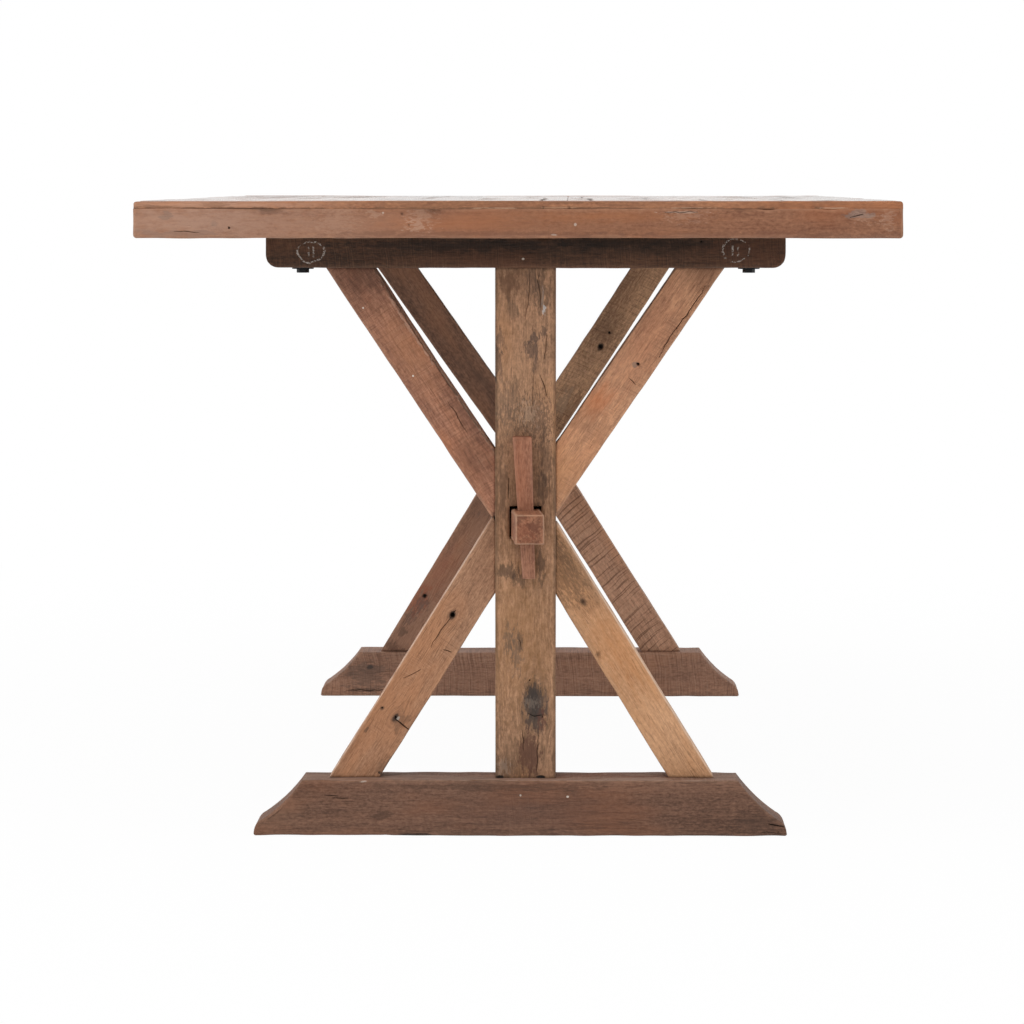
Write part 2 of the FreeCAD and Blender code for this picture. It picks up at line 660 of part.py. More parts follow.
def chamfer_tips(body):
    """Ease the edges round the two end faces of the stretcher."""
    last = body.Tip
    faces = sorted(last.Shape.Faces, key=lambda face: abs(face.CenterOfMass.y))
    tips = [edge for face in faces[-2:] for edge in face.Edges]
    names = [f"Edge{number}" for number, edge in enumerate(last.Shape.Edges, start=1)
             if any(edge.isSame(tip) for tip in tips)]
    chamfer = body.newObject("PartDesign::Chamfer", "stretcher_tip_chamfer")
    chamfer.Base = (last, names)
    chamfer.setExpression("Size", formula("tenon_tip_chamfer"))


def key(end):
    """Tusk key: a leaning wedge, flat against the post and sloped outside."""
    sign = ENDS[end]
    body = new_body(f"{end}_key")
    sections = []
    for name, height in (("foot", KEY_FOOT), ("top", KEY_TOP)):
        sketch = plane_sketch(body, name, "XY_Plane", height)
        middle = f"({sign} * ({POST_OUTER} + key_clearance + {key_thick(height)} / 2))"
        draw_outline(sketch, rectangle(key_middle(end, height), middle,
                                       key_width(height), key_thick(height)))
        sections.append(sketch)
    loft = body.newObject("PartDesign::AdditiveLoft", f"{end}_key_wedge")
    loft.Profile = sections[0]
    loft.Sections = [sections[1]]
    loft.Ruled = True
    return body


# ---------------------------------------------------------------- fastenings of the top

def bolt(name, x, y):
    """Hexagon bolt from below the cleat up into its insert."""
    head_low = f"{CLEAT_BOTTOM} - washer_thick - bolt_head_height"
    head = doc.addObject("Part::Prism", f"{name}_head")
    head.Polygon = 6
    bind(head, Circumradius="bolt_head_radius", Height="bolt_head_height",
         x=x, y=y, z=head_low)
    shank_length = "bolt_head_height + washer_thick + cleat_height + bolt_grip"
    solid = doc.addObject("Part::Fuse", name)
    solid.Base = head
    solid.Tool = rod(f"{name}_shank", "bolt_diameter / 2", shank_length, x, y, head_low)
    return solid


def fastenings(end):
    """Two bolts, two washers and two threaded inserts for one cleat."""
    y = f"{ENDS[end]} * {TRESTLE_MIDDLE}"
    bolts = []
    washers = []
    inserts = []
    for hand, (x, _) in zip(HANDS, bolt_centres(end)):
        bolts.append(bolt(f"{end}_{hand}_bolt", x, y))
        washers.append(tube(f"{end}_{hand}_washer", "washer_radius",
                            "bolt_diameter / 2 + bolt_hole_clearance", "washer_thick",
                            x, y, f"{CLEAT_BOTTOM} - washer_thick"))
        inserts.append(tube(f"{end}_{hand}_insert", "insert_diameter / 2",
                            "bolt_diameter / 2 + insert_clearance", "insert_length",
                            x, y, FRAME_BOTTOM))
    return [group(f"{end}_top_bolts", bolts), group(f"{end}_washers", washers),
            group(f"{end}_threaded_inserts", inserts)]


# ---------------------------------------------------------------- assembly and export

def build_table():
    """Every sub-part of the table, in the order it would be put together."""
    pieces = deck()
    pieces += [end_rail(end) for end in ENDS]
    pieces += [side_rail(hand) for hand in HANDS]
    pieces += [cross_batten(place, y) for place, y in BATTENS.items()]
    for end in ENDS:
        pieces += trestle(end)
        pieces += fastenings(end)
    pieces.append(stretcher())
    pieces += [key(end) for end in ENDS]
    return pieces


def check_document(pieces):
    """Stop if anything failed to build, or a cut missed its solid."""
    for item in doc.Objects:
        if "Invalid" in item.State or "Error" in item.State:
            raise RuntimeError(f"{item.Name} failed: {item.State}")
        if item.TypeId == "PartDesign::Pocket":
            removed = item.BaseFeature.Shape.Volume - item.Shape.Volume
            if removed <= 0:
                raise RuntimeError(f"{item.Name} cuts nothing")
    for piece in pieces:
        if piece.Shape.isNull() or not piece.Shape.isValid():
            raise RuntimeError(f"{piece.Label} has no valid shape")


table = build_table()
doc.recompute()
check_document(table)
os.makedirs("parts", exist_ok=True)
for piece in table:
    piece.Shape.exportStep(f"parts/{piece.Label}.step")
    print(f"{piece.Label}: {len(piece.Shape.Solids)} solid(s)")
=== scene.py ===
"""Looks of a sawbuck table in reclaimed wood, built round its packed construction model.

Every board of the frame is replaced by a worn timber of the same size and place: a dense mesh
with rubbed arrises, knocks, cracks and holes, dressed in a wood finish of its own. The
dowels and the steel and brass fastenings keep their shape and only get finishes. Lengths
are metres, but the small makers of marks near the end take millimetres.
"""

import json
import logging
import math
import zlib
from collections.abc import Callable, Iterable, Sequence
from dataclasses import dataclass, field, replace
from enum import Enum
from functools import cache

import bmesh
import bpy
import numpy as np
from mathutils import Matrix, Vector, geometry

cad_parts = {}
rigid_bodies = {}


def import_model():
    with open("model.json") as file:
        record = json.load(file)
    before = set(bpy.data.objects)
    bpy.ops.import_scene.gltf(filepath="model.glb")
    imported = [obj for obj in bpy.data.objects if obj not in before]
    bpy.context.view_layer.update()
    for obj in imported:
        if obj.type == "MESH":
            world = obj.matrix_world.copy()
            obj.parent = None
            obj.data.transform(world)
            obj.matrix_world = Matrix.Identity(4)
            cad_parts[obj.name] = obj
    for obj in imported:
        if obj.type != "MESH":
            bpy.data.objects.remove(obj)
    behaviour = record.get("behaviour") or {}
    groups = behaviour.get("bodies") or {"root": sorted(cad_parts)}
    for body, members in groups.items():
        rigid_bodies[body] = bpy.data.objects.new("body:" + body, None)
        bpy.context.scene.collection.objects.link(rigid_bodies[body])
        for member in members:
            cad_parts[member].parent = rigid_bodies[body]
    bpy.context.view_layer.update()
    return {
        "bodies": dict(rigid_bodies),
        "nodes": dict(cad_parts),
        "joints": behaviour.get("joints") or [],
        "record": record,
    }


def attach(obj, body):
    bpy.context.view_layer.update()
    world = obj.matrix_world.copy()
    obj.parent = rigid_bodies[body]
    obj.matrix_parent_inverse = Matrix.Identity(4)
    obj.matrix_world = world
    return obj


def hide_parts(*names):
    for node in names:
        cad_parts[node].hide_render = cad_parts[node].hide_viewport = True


Array = np.ndarray
Mesh = bpy.types.Mesh
Object = bpy.types.Object
Faces = list[list[int]]
Pair = tuple[float, float]

LOG = logging.getLogger("sawbuck_table")
MM = 0.001

# What the timber meshes share.
MESH_STEP = 0.005  # Usual size of a cell.
FINEST = 4  # How many times cells near a cut are halved.
FINE_ENOUGH = 0.45  # Size of a cell that needs no more halving, as a share of the cut.
ARRIS_FACETS = 4
ROOM_SHARE = 0.45  # Largest radius of an arris, as a share of the timber's thickness.
BUTT_ARRIS = 0.0004  # Arris of an end that butts another piece.
CORNER_SIDES = ((0, 2), (1, 2), (1, 3), (0, 3))  # The two limits that meet at each arris.
ARRIS_WAVE = 0.07  # Middle length of the waves in the arrises.
KNOCK_SPREADS = (0.004, 0.016)
KNOCK_DEPTHS = (0.5, 1.8)  # Shares of the arris.
SLOW_WAVE = 0.22  # Middle lengths of the waves in the faces.
QUICK_WAVE = 0.035
WALL_LAYERS = 6  # Cells through a window's wall.
SEAM_REACH = 0.004
FACE_REACH = 0.004  # How far below its face a cut still finds points.
PATH_REACH = 0.02  # How far to its sides it does.
CRACK_WIGGLE = 0.0006
CRACK_STEP = 0.005  # Length between a chosen crack's points.
CHECKS = 1.3  # Random cracks for each metre of a face.
CHECK_LENGTHS = (0.03, 0.11)
CHECK_WIDTHS = (0.0008, 0.0014)
CHECK_STEP = 0.008
WORM_HOLES = 2.2
WORM_WIDTHS = (0.0018, 0.003)
RANDOM_DEPTH = 0.003
NARROWEST = 0.008  # Half width of a face that is too narrow for random cuts.
MATCH = 0.0001  # Places that are as near as this count as the same.
FAR_OFF = 1e9
TINY = 1e-9

ALONG_X = Vector((1, 0, 0))
ALONG_Y = Vector((0, 1, 0))
UP = Vector((0, 0, 1))
TOWARDS = Vector((0, -1, 0))


# ---- named choices

class Side(Enum):
    """Faces of a timber, by the way they look in its own axes."""

    FRONT = (0, 0, 1)
    BACK = (0, 0, -1)
    UPPER = (0, 1, 0)
    LOWER = (0, -1, 0)
    FOOT_END = (-1, 0, 0)
    HEAD_END = (1, 0, 0)


class CutKind(Enum):
    """Shapes of what is missing from a face."""

    CRACK = "crack"
    HOLE = "hole"
    CHIP = "chip"


class End(Enum):
    """The two ends of the table, with the way that each looks along Y."""

    NEAR = -1
    FAR = 1

    @property
    def word(self) -> str:
        """Word that starts the names of this end's pieces."""
        return self.name.lower()


class Socket(Enum):
    """Kinds of socket on a shader node group."""

    VALUE = "NodeSocketFloat"
    VECTOR = "NodeSocketVector"
    COLOUR = "NodeSocketColor"


# ---- small records

@dataclass(frozen=True)
class Cut:
    """A crack, hole or chip in a face.

    Points are the row frame's two coordinates in the plane of the face.
    """

    kind: CutKind
    points: tuple[Pair, ...]
    width: float
    depth: float
    side: Side = Side.FRONT
    dark: float = 1.0


CutPaths = list[tuple[Cut, Array]]


@dataclass(frozen=True)
class Patch:
    """A coloured place on a face: a stain, rubbed wood, old paint, painted shade or painted light.

    Its half sizes run along and across the timber.
    """

    at: Pair
    half: Pair
    tone: str
    strength: float = 0.8
    ragged: float = 0.5
    side: Side = Side.FRONT
    soft: float = 0.5
    fine: float = 1.0


@dataclass(frozen=True)
class Knot:
    """A knot, with the grain flowing round it."""

    at: Pair
    radius: float
    stretch: float = 1.4


@dataclass(frozen=True)
class SideTint:
    """A long side painted another tone than the rest: painted highlight on a side that faces the light,
    painted shade on one turned from it.
    """

    side: Side
    tone: str
    strength: float


@dataclass(frozen=True)
class ChalkRing:
    """A ring drawn in chalk round a pair of tally strokes."""

    at: Pair
    radius: float
    line: float = 0.0015


@dataclass(frozen=True)
class Window:
    """A square hole right through a timber's thickness: spans along and across it."""

    along: Pair
    across: Pair


# ---- seeded unevenness

class Drift:
    """Smooth seeded unevenness: a sum of waves that run in random directions."""

    WAVES = 10

    def __init__(self, name: str, wavelength: float, dimensions: int = 3) -> None:
        """Draws the waves.

        Args:
            name: Words that seed the draw.
            wavelength: Middle length of the waves.
            dimensions: How many coordinates a point has.
        """
        draw = np.random.default_rng(zlib.crc32(name.encode()))
        ways = draw.normal(size=(self.WAVES, dimensions))
        ways /= np.linalg.norm(ways, axis=1, keepdims=True)
        lengths = wavelength * draw.uniform(0.6, 1.7, self.WAVES)
        self.ways = ways * (2 * math.pi / lengths)[:, None]
        self.phases = draw.uniform(0, 2 * math.pi, self.WAVES)

    def at(self, points: Array) -> Array:
        """Unevenness, mostly from -1 to 1, at each row of some points."""
        waves = np.cos(points @ self.ways.T + self.phases)
        return waves.sum(axis=1) / math.sqrt(self.WAVES)


def draw_for(name: str) -> np.random.Generator:
    """Random numbers that belong to a name and are the same on each run."""
    return np.random.default_rng(zlib.crc32(name.encode()) + 1)


# ---- measures on the frame

class Survey:
    """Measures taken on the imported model."""

    def __init__(self, frame: dict) -> None:
        """Keeps the frame's nodes and which body each rides on.
        """
        self.nodes = frame["nodes"]
        groups = frame["record"]["behaviour"]["bodies"]
        self.body_of = {node: body for body, members in groups.items() for node in members}

    @cache
    def points(self, node: str) -> Array:
        """Corner points of a node's mesh, one row each.

        Args:
            node: Name of the node.

        Returns:
            The rows.
        """
        mesh = self.nodes[node].data
        found = np.empty(len(mesh.vertices) * 3)
        mesh.vertices.foreach_get("co", found)
        return found.reshape(-1, 3)

    def box(self, node: str) -> Array:
        """Lowest and highest corner of a node, as two rows."""
        points = self.points(node)
        return np.array([points.min(axis=0), points.max(axis=0)])

    def slice_box(self, node: str, axis: int, level: float) -> Array:
        """Box round the node's points at one level of an axis.

        Args:
            node: Name of the node.
            axis: Number of the axis.
            level: Place on it.

        Returns:
            The box's lowest and highest corner, as two rows.
        """
        points = self.points(node)
        there = points[np.abs(points[:, axis] - level) < MATCH]
        return np.array([there.min(axis=0), there.max(axis=0)])


def own_axes(along: Vector, thick: Vector, origin: Vector) -> Matrix:
    """Axes of a timber: X along it, Z through its thickness.

    Args:
        along: Direction of the timber.
        thick: Direction that its front face looks.
        origin: Place of its own zero point in the row frame.

    Returns:
        The matrix from the timber's own axes to the row frame.
    """
    across = thick.cross(along)
    turn = Matrix((along, across, thick)).transposed()
    return Matrix.Translation(origin) @ turn.to_4x4()


# ---- timber meshes

@dataclass
class Timber:
    """One wooden piece as a worn mesh, lofted along its own length.

    Its own X runs along it, Y across it and Z through its thickness. `along` holds the
    break points of its outline and `limits` the low and high side across and through it
    at each. `arris` is the radius of its edges, `wear` how much that wanders and `knocks`
    how many dents each metre of an edge has. `sway` is the waviness of its faces, and
    `side_sway` the share of it on the narrow sides. `mitres` are the two end lines, along
    against across, where they slant. `rounding` is each side's share of the arris. Nothing
    goes below `floor`, and the ends of a timber that is `butted` are marked for the painted
    shade of its joints.
    """

    node: str
    axes: Matrix
    along: Array
    limits: Array
    arris: float = 0.002
    knocks: float = 2.5
    wear: float = 0.35
    sway: float = 0.0004
    step: float = MESH_STEP
    mitres: tuple[Array, Array] | None = None
    windows: list[Window] = field(default_factory=list)
    cuts: list[Cut] = field(default_factory=list)
    floor: float | None = None
    butted: bool = False
    end_arris: float | None = None
    rounding: tuple[float, float, float, float] = (1.0, 1.0, 1.0, 1.0)
    side_sway: float = 1.0

    @classmethod
    def board(cls, survey: Survey, node: str, along: Vector, thick: Vector, **rest: object) -> "Timber":
        """A plain straight timber that fills its node's box.

        Args:
            survey: Measures of the frame.
            node: Node that it replaces.
            along: Direction that it runs in.
            thick: Direction that its front face looks.
            rest: Fields that aren't the usual ones.

        Returns:
            The timber.
        """
        low, high = survey.box(node)
        middle = Vector((low + high) / 2)
        axes = own_axes(along, thick, middle)
        half = axes.to_3x3().inverted() @ Vector((high - low) / 2)
        length, across, through = (abs(size) for size in half)
        limits = np.tile([-across, across, -through, through], (2, 1))
        return cls(node, axes, np.array([-length, length]), limits, **rest)

    @classmethod
    def profiled(cls, survey: Survey, node: str, **rest: object) -> "Timber":
        """A timber along X whose lower or upper edge is shaped, measured on its near face.

        Args:
            survey: Measures of the frame.
            node: Node that it replaces.
            rest: Fields that aren't the usual ones.

        Returns:
            The timber.
        """
        low, high = survey.box(node)
        middle = Vector((low + high) / 2)
        axes = own_axes(ALONG_X, TOWARDS, middle)
        points = survey.points(node)
        face = points[np.abs(points[:, 1] - low[1]) < MATCH][:, [0, 2]]
        face = face - np.array([middle.x, middle.z])
        tip = face[np.abs(face[:, 0] - face[:, 0].min()) < MATCH]
        divide = tip[:, 1].mean()
        lower = np.array(sorted(face[face[:, 1] < divide].tolist()))
        upper = np.array(sorted(face[face[:, 1] >= divide].tolist()))
        along = np.unique(np.round(face[:, 0], 4))
        across_low = np.interp(along, lower[:, 0], lower[:, 1])
        across_high = np.interp(along, upper[:, 0], upper[:, 1])
        half = np.full(len(along), (high[1] - low[1]) / 2)
        limits = np.stack([across_low, across_high, -half, half], axis=1)
        return cls(node, axes, along, limits, **rest)

    @classmethod
    def brace(cls, survey: Survey, node: str, **rest: object) -> "Timber":
        """A slanting timber whose two ends are cut where it meets its neighbours.

        Args:
            survey: Measures of the frame.
            node: Node that it replaces.
            rest: Fields that aren't the usual ones.

        Returns:
            The timber.
        """
        low, high = survey.box(node)
        flat = [Vector((x, z)) for x, _, z in survey.points(node)]
        corners = [flat[index] for index in geometry.convex_hull_2d(flat)]
        edges = [second - first for first, second in zip(corners, corners[1:] + corners[:1])]
        longest = max(edges, key=lambda edge: edge.length).normalized()
        longest *= math.copysign(1, longest.y)
        along = Vector((longest.x, 0, longest.y))
        middle = Vector((low + high) / 2)
        axes = own_axes(along, TOWARDS, middle)
        home = axes.inverted()
        own = np.array([(home @ Vector((p.x, middle.y, p.y))).to_tuple()[:2] for p in corners])
        own = own[np.argsort(own[:, 1])]
        halves = [own[own[:, 0] < 0], own[own[:, 0] >= 0]]
        mitres = tuple(half[:, ::-1] for half in halves)
        half = (high[1] - low[1]) / 2
        limits = np.tile([own[0, 1], own[-1, 1], -half, half], (2, 1))
        length = float(abs(own[:, 0]).max())
        return cls(node, axes, np.array([-length, length]), limits, mitres=mitres,
                   butted=True, end_arris=BUTT_ARRIS, **rest)

    # -- outline

    def stations(self) -> tuple[Array, Array, Array]:
        """Places along the timber where a ring of points goes.

        Returns:
            The places, the limits at each and how far each ring is drawn in at an end.
        """
        lines = [edge for window in self.windows for edge in window.along]
        places, limits = [self.along[0]], [self.limits[0]]
        for index in range(len(self.along) - 1):
            start, finish = self.along[index], self.along[index + 1]
            inner = sorted(line for line in lines if start < line < finish)
            marks = [start, *inner, finish]
            for low, high in zip(marks, marks[1:]):
                count = max(1, round((high - low) / self.step))
                for place in np.linspace(low, high, count + 1)[1:]:
                    share = (place - start) / max(finish - start, MATCH)
                    places.append(place)
                    limits.append(self.limits[index] * (1 - share)
                                  + self.limits[index + 1] * share)
            if finish == start:
                places.append(finish)
                limits.append(self.limits[index + 1])
        places, limits = np.array(places), np.array(limits)
        turns = np.linspace(0, math.pi / 2, ARRIS_FACETS + 1)
        reach = self.end_arris or self.arris
        depths = reach * (1 - np.cos(turns))
        insets = reach * (1 - np.sin(turns))
        clear = reach * 1.5
        body = (places > places[0] + clear) & (places < places[-1] - clear)
        start, finish = places[0] + depths, places[-1] - depths[::-1]
        drawn_in = np.concatenate([insets, np.zeros(body.sum()), insets[::-1]])
        limits = np.concatenate([self.limits_at(start), limits[body], self.limits_at(finish)])
        return np.concatenate([start, places[body], finish]), limits, drawn_in

    def limits_at(self, places: Array) -> Array:
        """Limits across and through the timber at places near its ends."""
        columns = [np.interp(places, self.along, column) for column in self.limits.T]
        return np.stack(columns, axis=1)

    def arris_radii(self, places: Array) -> Array:
        """Uneven radii of the four long arrises, with wear and knocks.

        Args:
            places: Places along the timber.

        Returns:
            The four radii at each place.
        """
        draw = draw_for(self.node + " knocks")
        radii = np.empty((len(places), 4))
        length = places[-1] - places[0]
        for corner in range(4):
            wander = Drift(f"{self.node} arris {corner}", ARRIS_WAVE, 1).at(places[:, None])
            radii[:, corner] = self.arris * (1 + self.wear * wander)
            radii[:, corner] *= min(self.rounding[side] for side in CORNER_SIDES[corner])
            for _ in range(draw.poisson(self.knocks * length)):
                middle = draw.uniform(places[0], places[-1])
                spread = draw.uniform(*KNOCK_SPREADS)
                depth = self.arris * draw.uniform(*KNOCK_DEPTHS)
                radii[:, corner] += depth * np.exp(-((places - middle) / spread) ** 2)
        return radii

    def side_lines(self, low: float, high: float, edges: Iterable[float]) -> Array:
        """Where mesh lines run on a side.

        Args:
            low: Low edge of the side.
            high: High edge of it.
            edges: Places that need a line, such as a window's edges.

        Returns:
            The lines, as shares of the side's flat.
        """
        flat_low, flat_high = low + self.arris, high - self.arris
        size = flat_high - flat_low
        marks = [0.0, *sorted((edge - flat_low) / size for edge in edges), 1.0]
        lines = [0.0]
        for start, finish in zip(marks, marks[1:]):
            count = max(1, round((finish - start) * size / self.step))
            lines.extend(np.linspace(start, finish, count + 1)[1:])
        return np.array(lines)

    # -- mesh

    def solid(self) -> Mesh:
        """Closed mesh of the timber before cracks and holes, with the arris layer filled.

        Returns:
            The mesh.
        """
        places, limits, insets = self.stations()
        middle = np.argmin(np.abs(places - (self.windows[0].along[0] if self.windows else 0)))
        wide = limits[middle]
        edges = [edge for window in self.windows[:1] for edge in window.across]
        lines_y = self.side_lines(wide[0], wide[1], edges)
        lines_z = self.side_lines(wide[2], wide[3], [])
        radii = self.arris_radii(places)
        rings, ring_arris = self.rings(limits, insets, radii, lines_y, lines_z)
        count, size = rings.shape[:2]
        cells_y = len(lines_y) - 1 + ARRIS_FACETS
        cells_z = len(lines_z) - 1 + ARRIS_FACETS
        holes = [self.hole_span(window, places, limits, lines_y) for window in self.windows]
        # Rings start half way round an arris. The lines of the back face run up from
        # start_column, and those of the front face down from top_start.
        start_column = ARRIS_FACETS // 2
        top_start = cells_y + cells_z + start_column + len(lines_y) - 1
        for window, (first, last, left, right) in zip(self.windows, holes):
            for column, edge in ((left, window.across[0]), (right, window.across[1])):
                rings[first:last + 1, start_column + column, 0] = edge
                rings[first:last + 1, top_start - column, 0] = edge
        points = np.empty((count, size, 3))
        points[:, :, 1:] = rings
        points[:, :, 0] = self.slanted(places[:, None], rings[:, :, 0])
        vertices = [points.reshape(-1, 3)]
        arris = [np.maximum(ring_arris[None, :], (insets > 0)[:, None] * 1.0).reshape(-1)]
        kept = np.ones((count - 1, size), bool)
        for first, last, left, right in holes:
            kept[first:last, start_column + left:start_column + right] = False
            kept[first:last, top_start - right:top_start - left] = False
        rows, columns = np.nonzero(kept)
        following = (columns + 1) % size
        faces = np.stack([rows * size + columns, rows * size + following,
                          (rows + 1) * size + following, (rows + 1) * size + columns], axis=1)
        faces = faces.tolist()
        total = count * size
        for row, flip in ((0, True), (count - 1, False)):
            inner, cap_faces = self.cap(points[row], row * size, total, cells_y, cells_z, flip)
            vertices.append(inner)
            arris.append(np.zeros(len(inner)))
            faces.extend(cap_faces)
            total += len(inner)
        for first, last, left, right in holes:
            loop = [(row, left) for row in range(first, last)]
            loop += [(last, column) for column in range(left, right)]
            loop += [(row, right) for row in range(last, first, -1)]
            loop += [(first, column) for column in range(right, left, -1)]
            under = [row * size + start_column + column for row, column in loop]
            over = [row * size + top_start - column for row, column in loop]
            inner, wall_faces = self.walls(points.reshape(-1, 3), under, over, total)
            vertices.append(inner)
            arris.append(np.zeros(len(inner)))
            faces.extend(wall_faces)
            total += len(inner)
        mesh = bpy.data.meshes.new(self.node + "_timber")
        mesh.from_pydata(np.concatenate(vertices).tolist(), [], faces)
        set_layer(mesh, "arris", np.concatenate(arris))
        made = bmesh.new()
        made.from_mesh(mesh)
        bmesh.ops.recalc_face_normals(made, faces=made.faces[:])
        made.to_mesh(mesh)
        made.free()
        return mesh

    def rings(self, limits: Array, insets: Array, radii: Array,
              lines_y: Array, lines_z: Array) -> tuple[Array, Array]:
        """Rounded sections of the timber.

        Args:
            limits: Low and high side across and through it at each station.
            insets: How far each section is drawn in.
            radii: Radius of its four arrises at each station.
            lines_y: Fractions of the flats across it where mesh lines run.
            lines_z: The same for the flats through it.

        Returns:
            The points of each section in order round it, and how far each is on an arris.
        """
        room = ROOM_SHARE * np.minimum(limits[:, 1] - limits[:, 0], limits[:, 3] - limits[:, 2])
        base = np.minimum(self.arris, room)[:, None]
        inward = np.array([1, -1, 1, -1]) * (np.array(self.rounding) == 1)
        drawn = limits + insets[:, None] * inward
        y_low, y_high, z_low, z_high = (drawn.T[index][:, None] for index in range(4))
        radius = np.minimum(radii, room[:, None])
        radius = np.maximum(radius - insets[:, None], 0.25 * radius)
        spans = (limits[:, 1] - limits[:, 0])[:, None], (limits[:, 3] - limits[:, 2])[:, None]
        flats_y = limits[:, :1] + base + lines_y[None, 1:-1] * (spans[0] - 2 * base)
        flats_z = limits[:, 2:3] + base + lines_z[None, 1:-1] * (spans[1] - 2 * base)
        quarter = np.linspace(0, math.pi / 2, ARRIS_FACETS + 1)[None, :]
        arcs = []
        corners = ((y_low, z_low, 1, 1, 2), (y_high, z_low, -1, 1, 3),
                   (y_high, z_high, -1, -1, 0), (y_low, z_high, 1, -1, 1))
        for index, (y_side, z_side, y_in, z_in, quarter_turns) in enumerate(corners):
            reach = radius[:, index, None]
            angles = quarter + quarter_turns * math.pi / 2
            arcs.append(np.stack([y_side + y_in * reach + reach * np.cos(angles),
                                  z_side + z_in * reach + reach * np.sin(angles)], axis=2))

        def flat(values: Array, level: Array, swap: bool) -> Array:
            """Points of one flat side between two arrises."""
            levels = np.broadcast_to(level, values.shape)
            return np.stack([levels, values] if swap else [values, levels], axis=2)

        half = ARRIS_FACETS // 2
        pieces = [
            arcs[0][:, half:],
            flat(flats_y, z_low, False),
            arcs[1],
            flat(flats_z, y_high, True),
            arcs[2],
            flat(flats_y[:, ::-1], z_high, False),
            arcs[3],
            flat(flats_z[:, ::-1], y_low, True),
            arcs[0][:, :half],
        ]
        on_arris = [np.full(piece.shape[1], float(place % 2 == 0))
                    for place, piece in enumerate(pieces)]
        return np.concatenate(pieces, axis=1), np.concatenate(on_arris)

    def slanted(self, places: Array, across: Array) -> Array:
        """Places along the timber, moved so that its ends follow the mitres.

        Args:
            places: Places along it, with square ends.
            across: Places across it.

        Returns:
            The moved places.
        """
        if self.mitres is None:
            return np.broadcast_to(places, across.shape)
        share = (places - self.along[0]) / (self.along[-1] - self.along[0])
        start, finish = (np.interp(across, line[:, 0], line[:, 1]) for line in self.mitres)
        return start + share * (finish - start)

    def cap(self, rim: Array, first: int, total: int, cells_y: int, cells_z: int,
            flip: bool) -> tuple[Array, Faces]:
        """Grid of faces that closes one end.

        Args:
            rim: Points of the end's ring.
            first: Vertex number of its first point.
            total: Number that the first new vertex gets.
            cells_y: Cells across the end.
            cells_z: Cells through it.
            flip: Whether the faces look back along the timber.

        Returns:
            The new points and the faces.
        """
        steps_y, steps_z = np.arange(cells_y + 1), np.arange(cells_z + 1)
        grid = np.zeros((cells_y + 1, cells_z + 1), int)
        grid[:, 0] = steps_y
        grid[-1, :] = cells_y + steps_z
        grid[:, -1] = cells_y + cells_z + steps_y[::-1]
        grid[0, :] = (2 * cells_y + cells_z + steps_z[::-1]) % len(rim)
        low, high = rim[grid[1:-1, :1]], rim[grid[1:-1, -1:]]
        left, right = rim[grid[:1, 1:-1]], rim[grid[-1:, 1:-1]]
        share_y, share_z = steps_y[1:-1, None] / cells_y, steps_z[None, 1:-1] / cells_z
        across = low[..., 1] * (1 - share_z) + high[..., 1] * share_z
        through = left[..., 2] * (1 - share_y) + right[..., 2] * share_y
        ends = low[..., 0] * np.ones(across.shape)
        if self.mitres is not None:
            ends = self.slanted(np.full(across.shape, self.along[0 if flip else -1]), across)
        grid += first
        grid[1:-1, 1:-1] = total + np.arange(across.size).reshape(across.shape)
        quads = np.stack([grid[:-1, :-1], grid[1:, :-1], grid[1:, 1:], grid[:-1, 1:]], axis=2)
        quads = quads.reshape(-1, 4)
        inner = np.stack([ends, across, through], axis=2).reshape(-1, 3)
        return inner, (quads[:, ::-1] if flip else quads).tolist()

    @staticmethod
    def walls(points: Array, under: list[int], over: list[int],
              total: int) -> tuple[Array, Faces]:
        """Inner walls of a window.

        Args:
            points: Points of the timber.
            under: Vertex numbers of the loop round it on the back face.
            over: The same on the front face.
            total: Number that the first new vertex gets.

        Returns:
            The new points and the faces.
        """
        size = len(under)
        shares = np.linspace(0, 1, WALL_LAYERS + 1)[1:-1, None, None]
        inner = points[under][None] * (1 - shares) + points[over][None] * shares
        between = total + np.arange(inner.shape[0] * size).reshape(-1, size)
        names = np.array([under, *between, over])
        after = np.roll(names, -1, axis=1)
        faces = np.stack([names[:-1], after[:-1], after[1:], names[1:]], axis=2)
        return inner.reshape(-1, 3), faces.reshape(-1, 4).tolist()

    def hole_span(self, window: Window, places: Array, limits: Array,
                  lines_y: Array) -> tuple[int, int, int, int]:
        """Cells that a window takes out.

        Args:
            window: The window.
            places: Places of the stations.
            limits: Low and high side at each station.
            lines_y: Mesh lines across the flats, as shares of them.

        Returns:
            Its first and last station and its first and last mesh line.
        """
        first, last = (int(np.argmin(np.abs(places - edge))) for edge in window.along)
        low, high = limits[first][:2]
        flats = low + self.arris + lines_y * (high - low - 2 * self.arris)
        left, right = (int(np.argmin(np.abs(flats - edge))) for edge in window.across)
        return first, last, left, right

    # -- wear

    def extent(self, side: Side) -> float:
        """Distance from the timber's zero point to one of its faces.

        Args:
            side: The face.

        Returns:
            The distance.
        """
        axis = int(np.argmax(np.abs(side.value)))
        high = int(sum(side.value) > 0)
        if axis == 0:
            return abs(self.along[-high])
        return float(np.abs(self.limits[:, 2 * (axis - 1) + high]).max())

    def on_face(self, at: Sequence[float], side: Side) -> Vector:
        """Point in the timber's own axes from a place on one of its faces.

        Args:
            at: The row frame's two coordinates in the plane of the face.
            side: The face.

        Returns:
            The point.
        """
        face = Vector(side.value) * self.extent(side)
        world = self.axes @ face
        look = self.axes.to_3x3() @ Vector(side.value)
        hidden = max(range(3), key=lambda axis: abs(look[axis]))
        shown = [axis for axis in range(3) if axis != hidden]
        for axis, value in zip(shown, at):
            world[axis] = value
        return self.axes.inverted() @ world

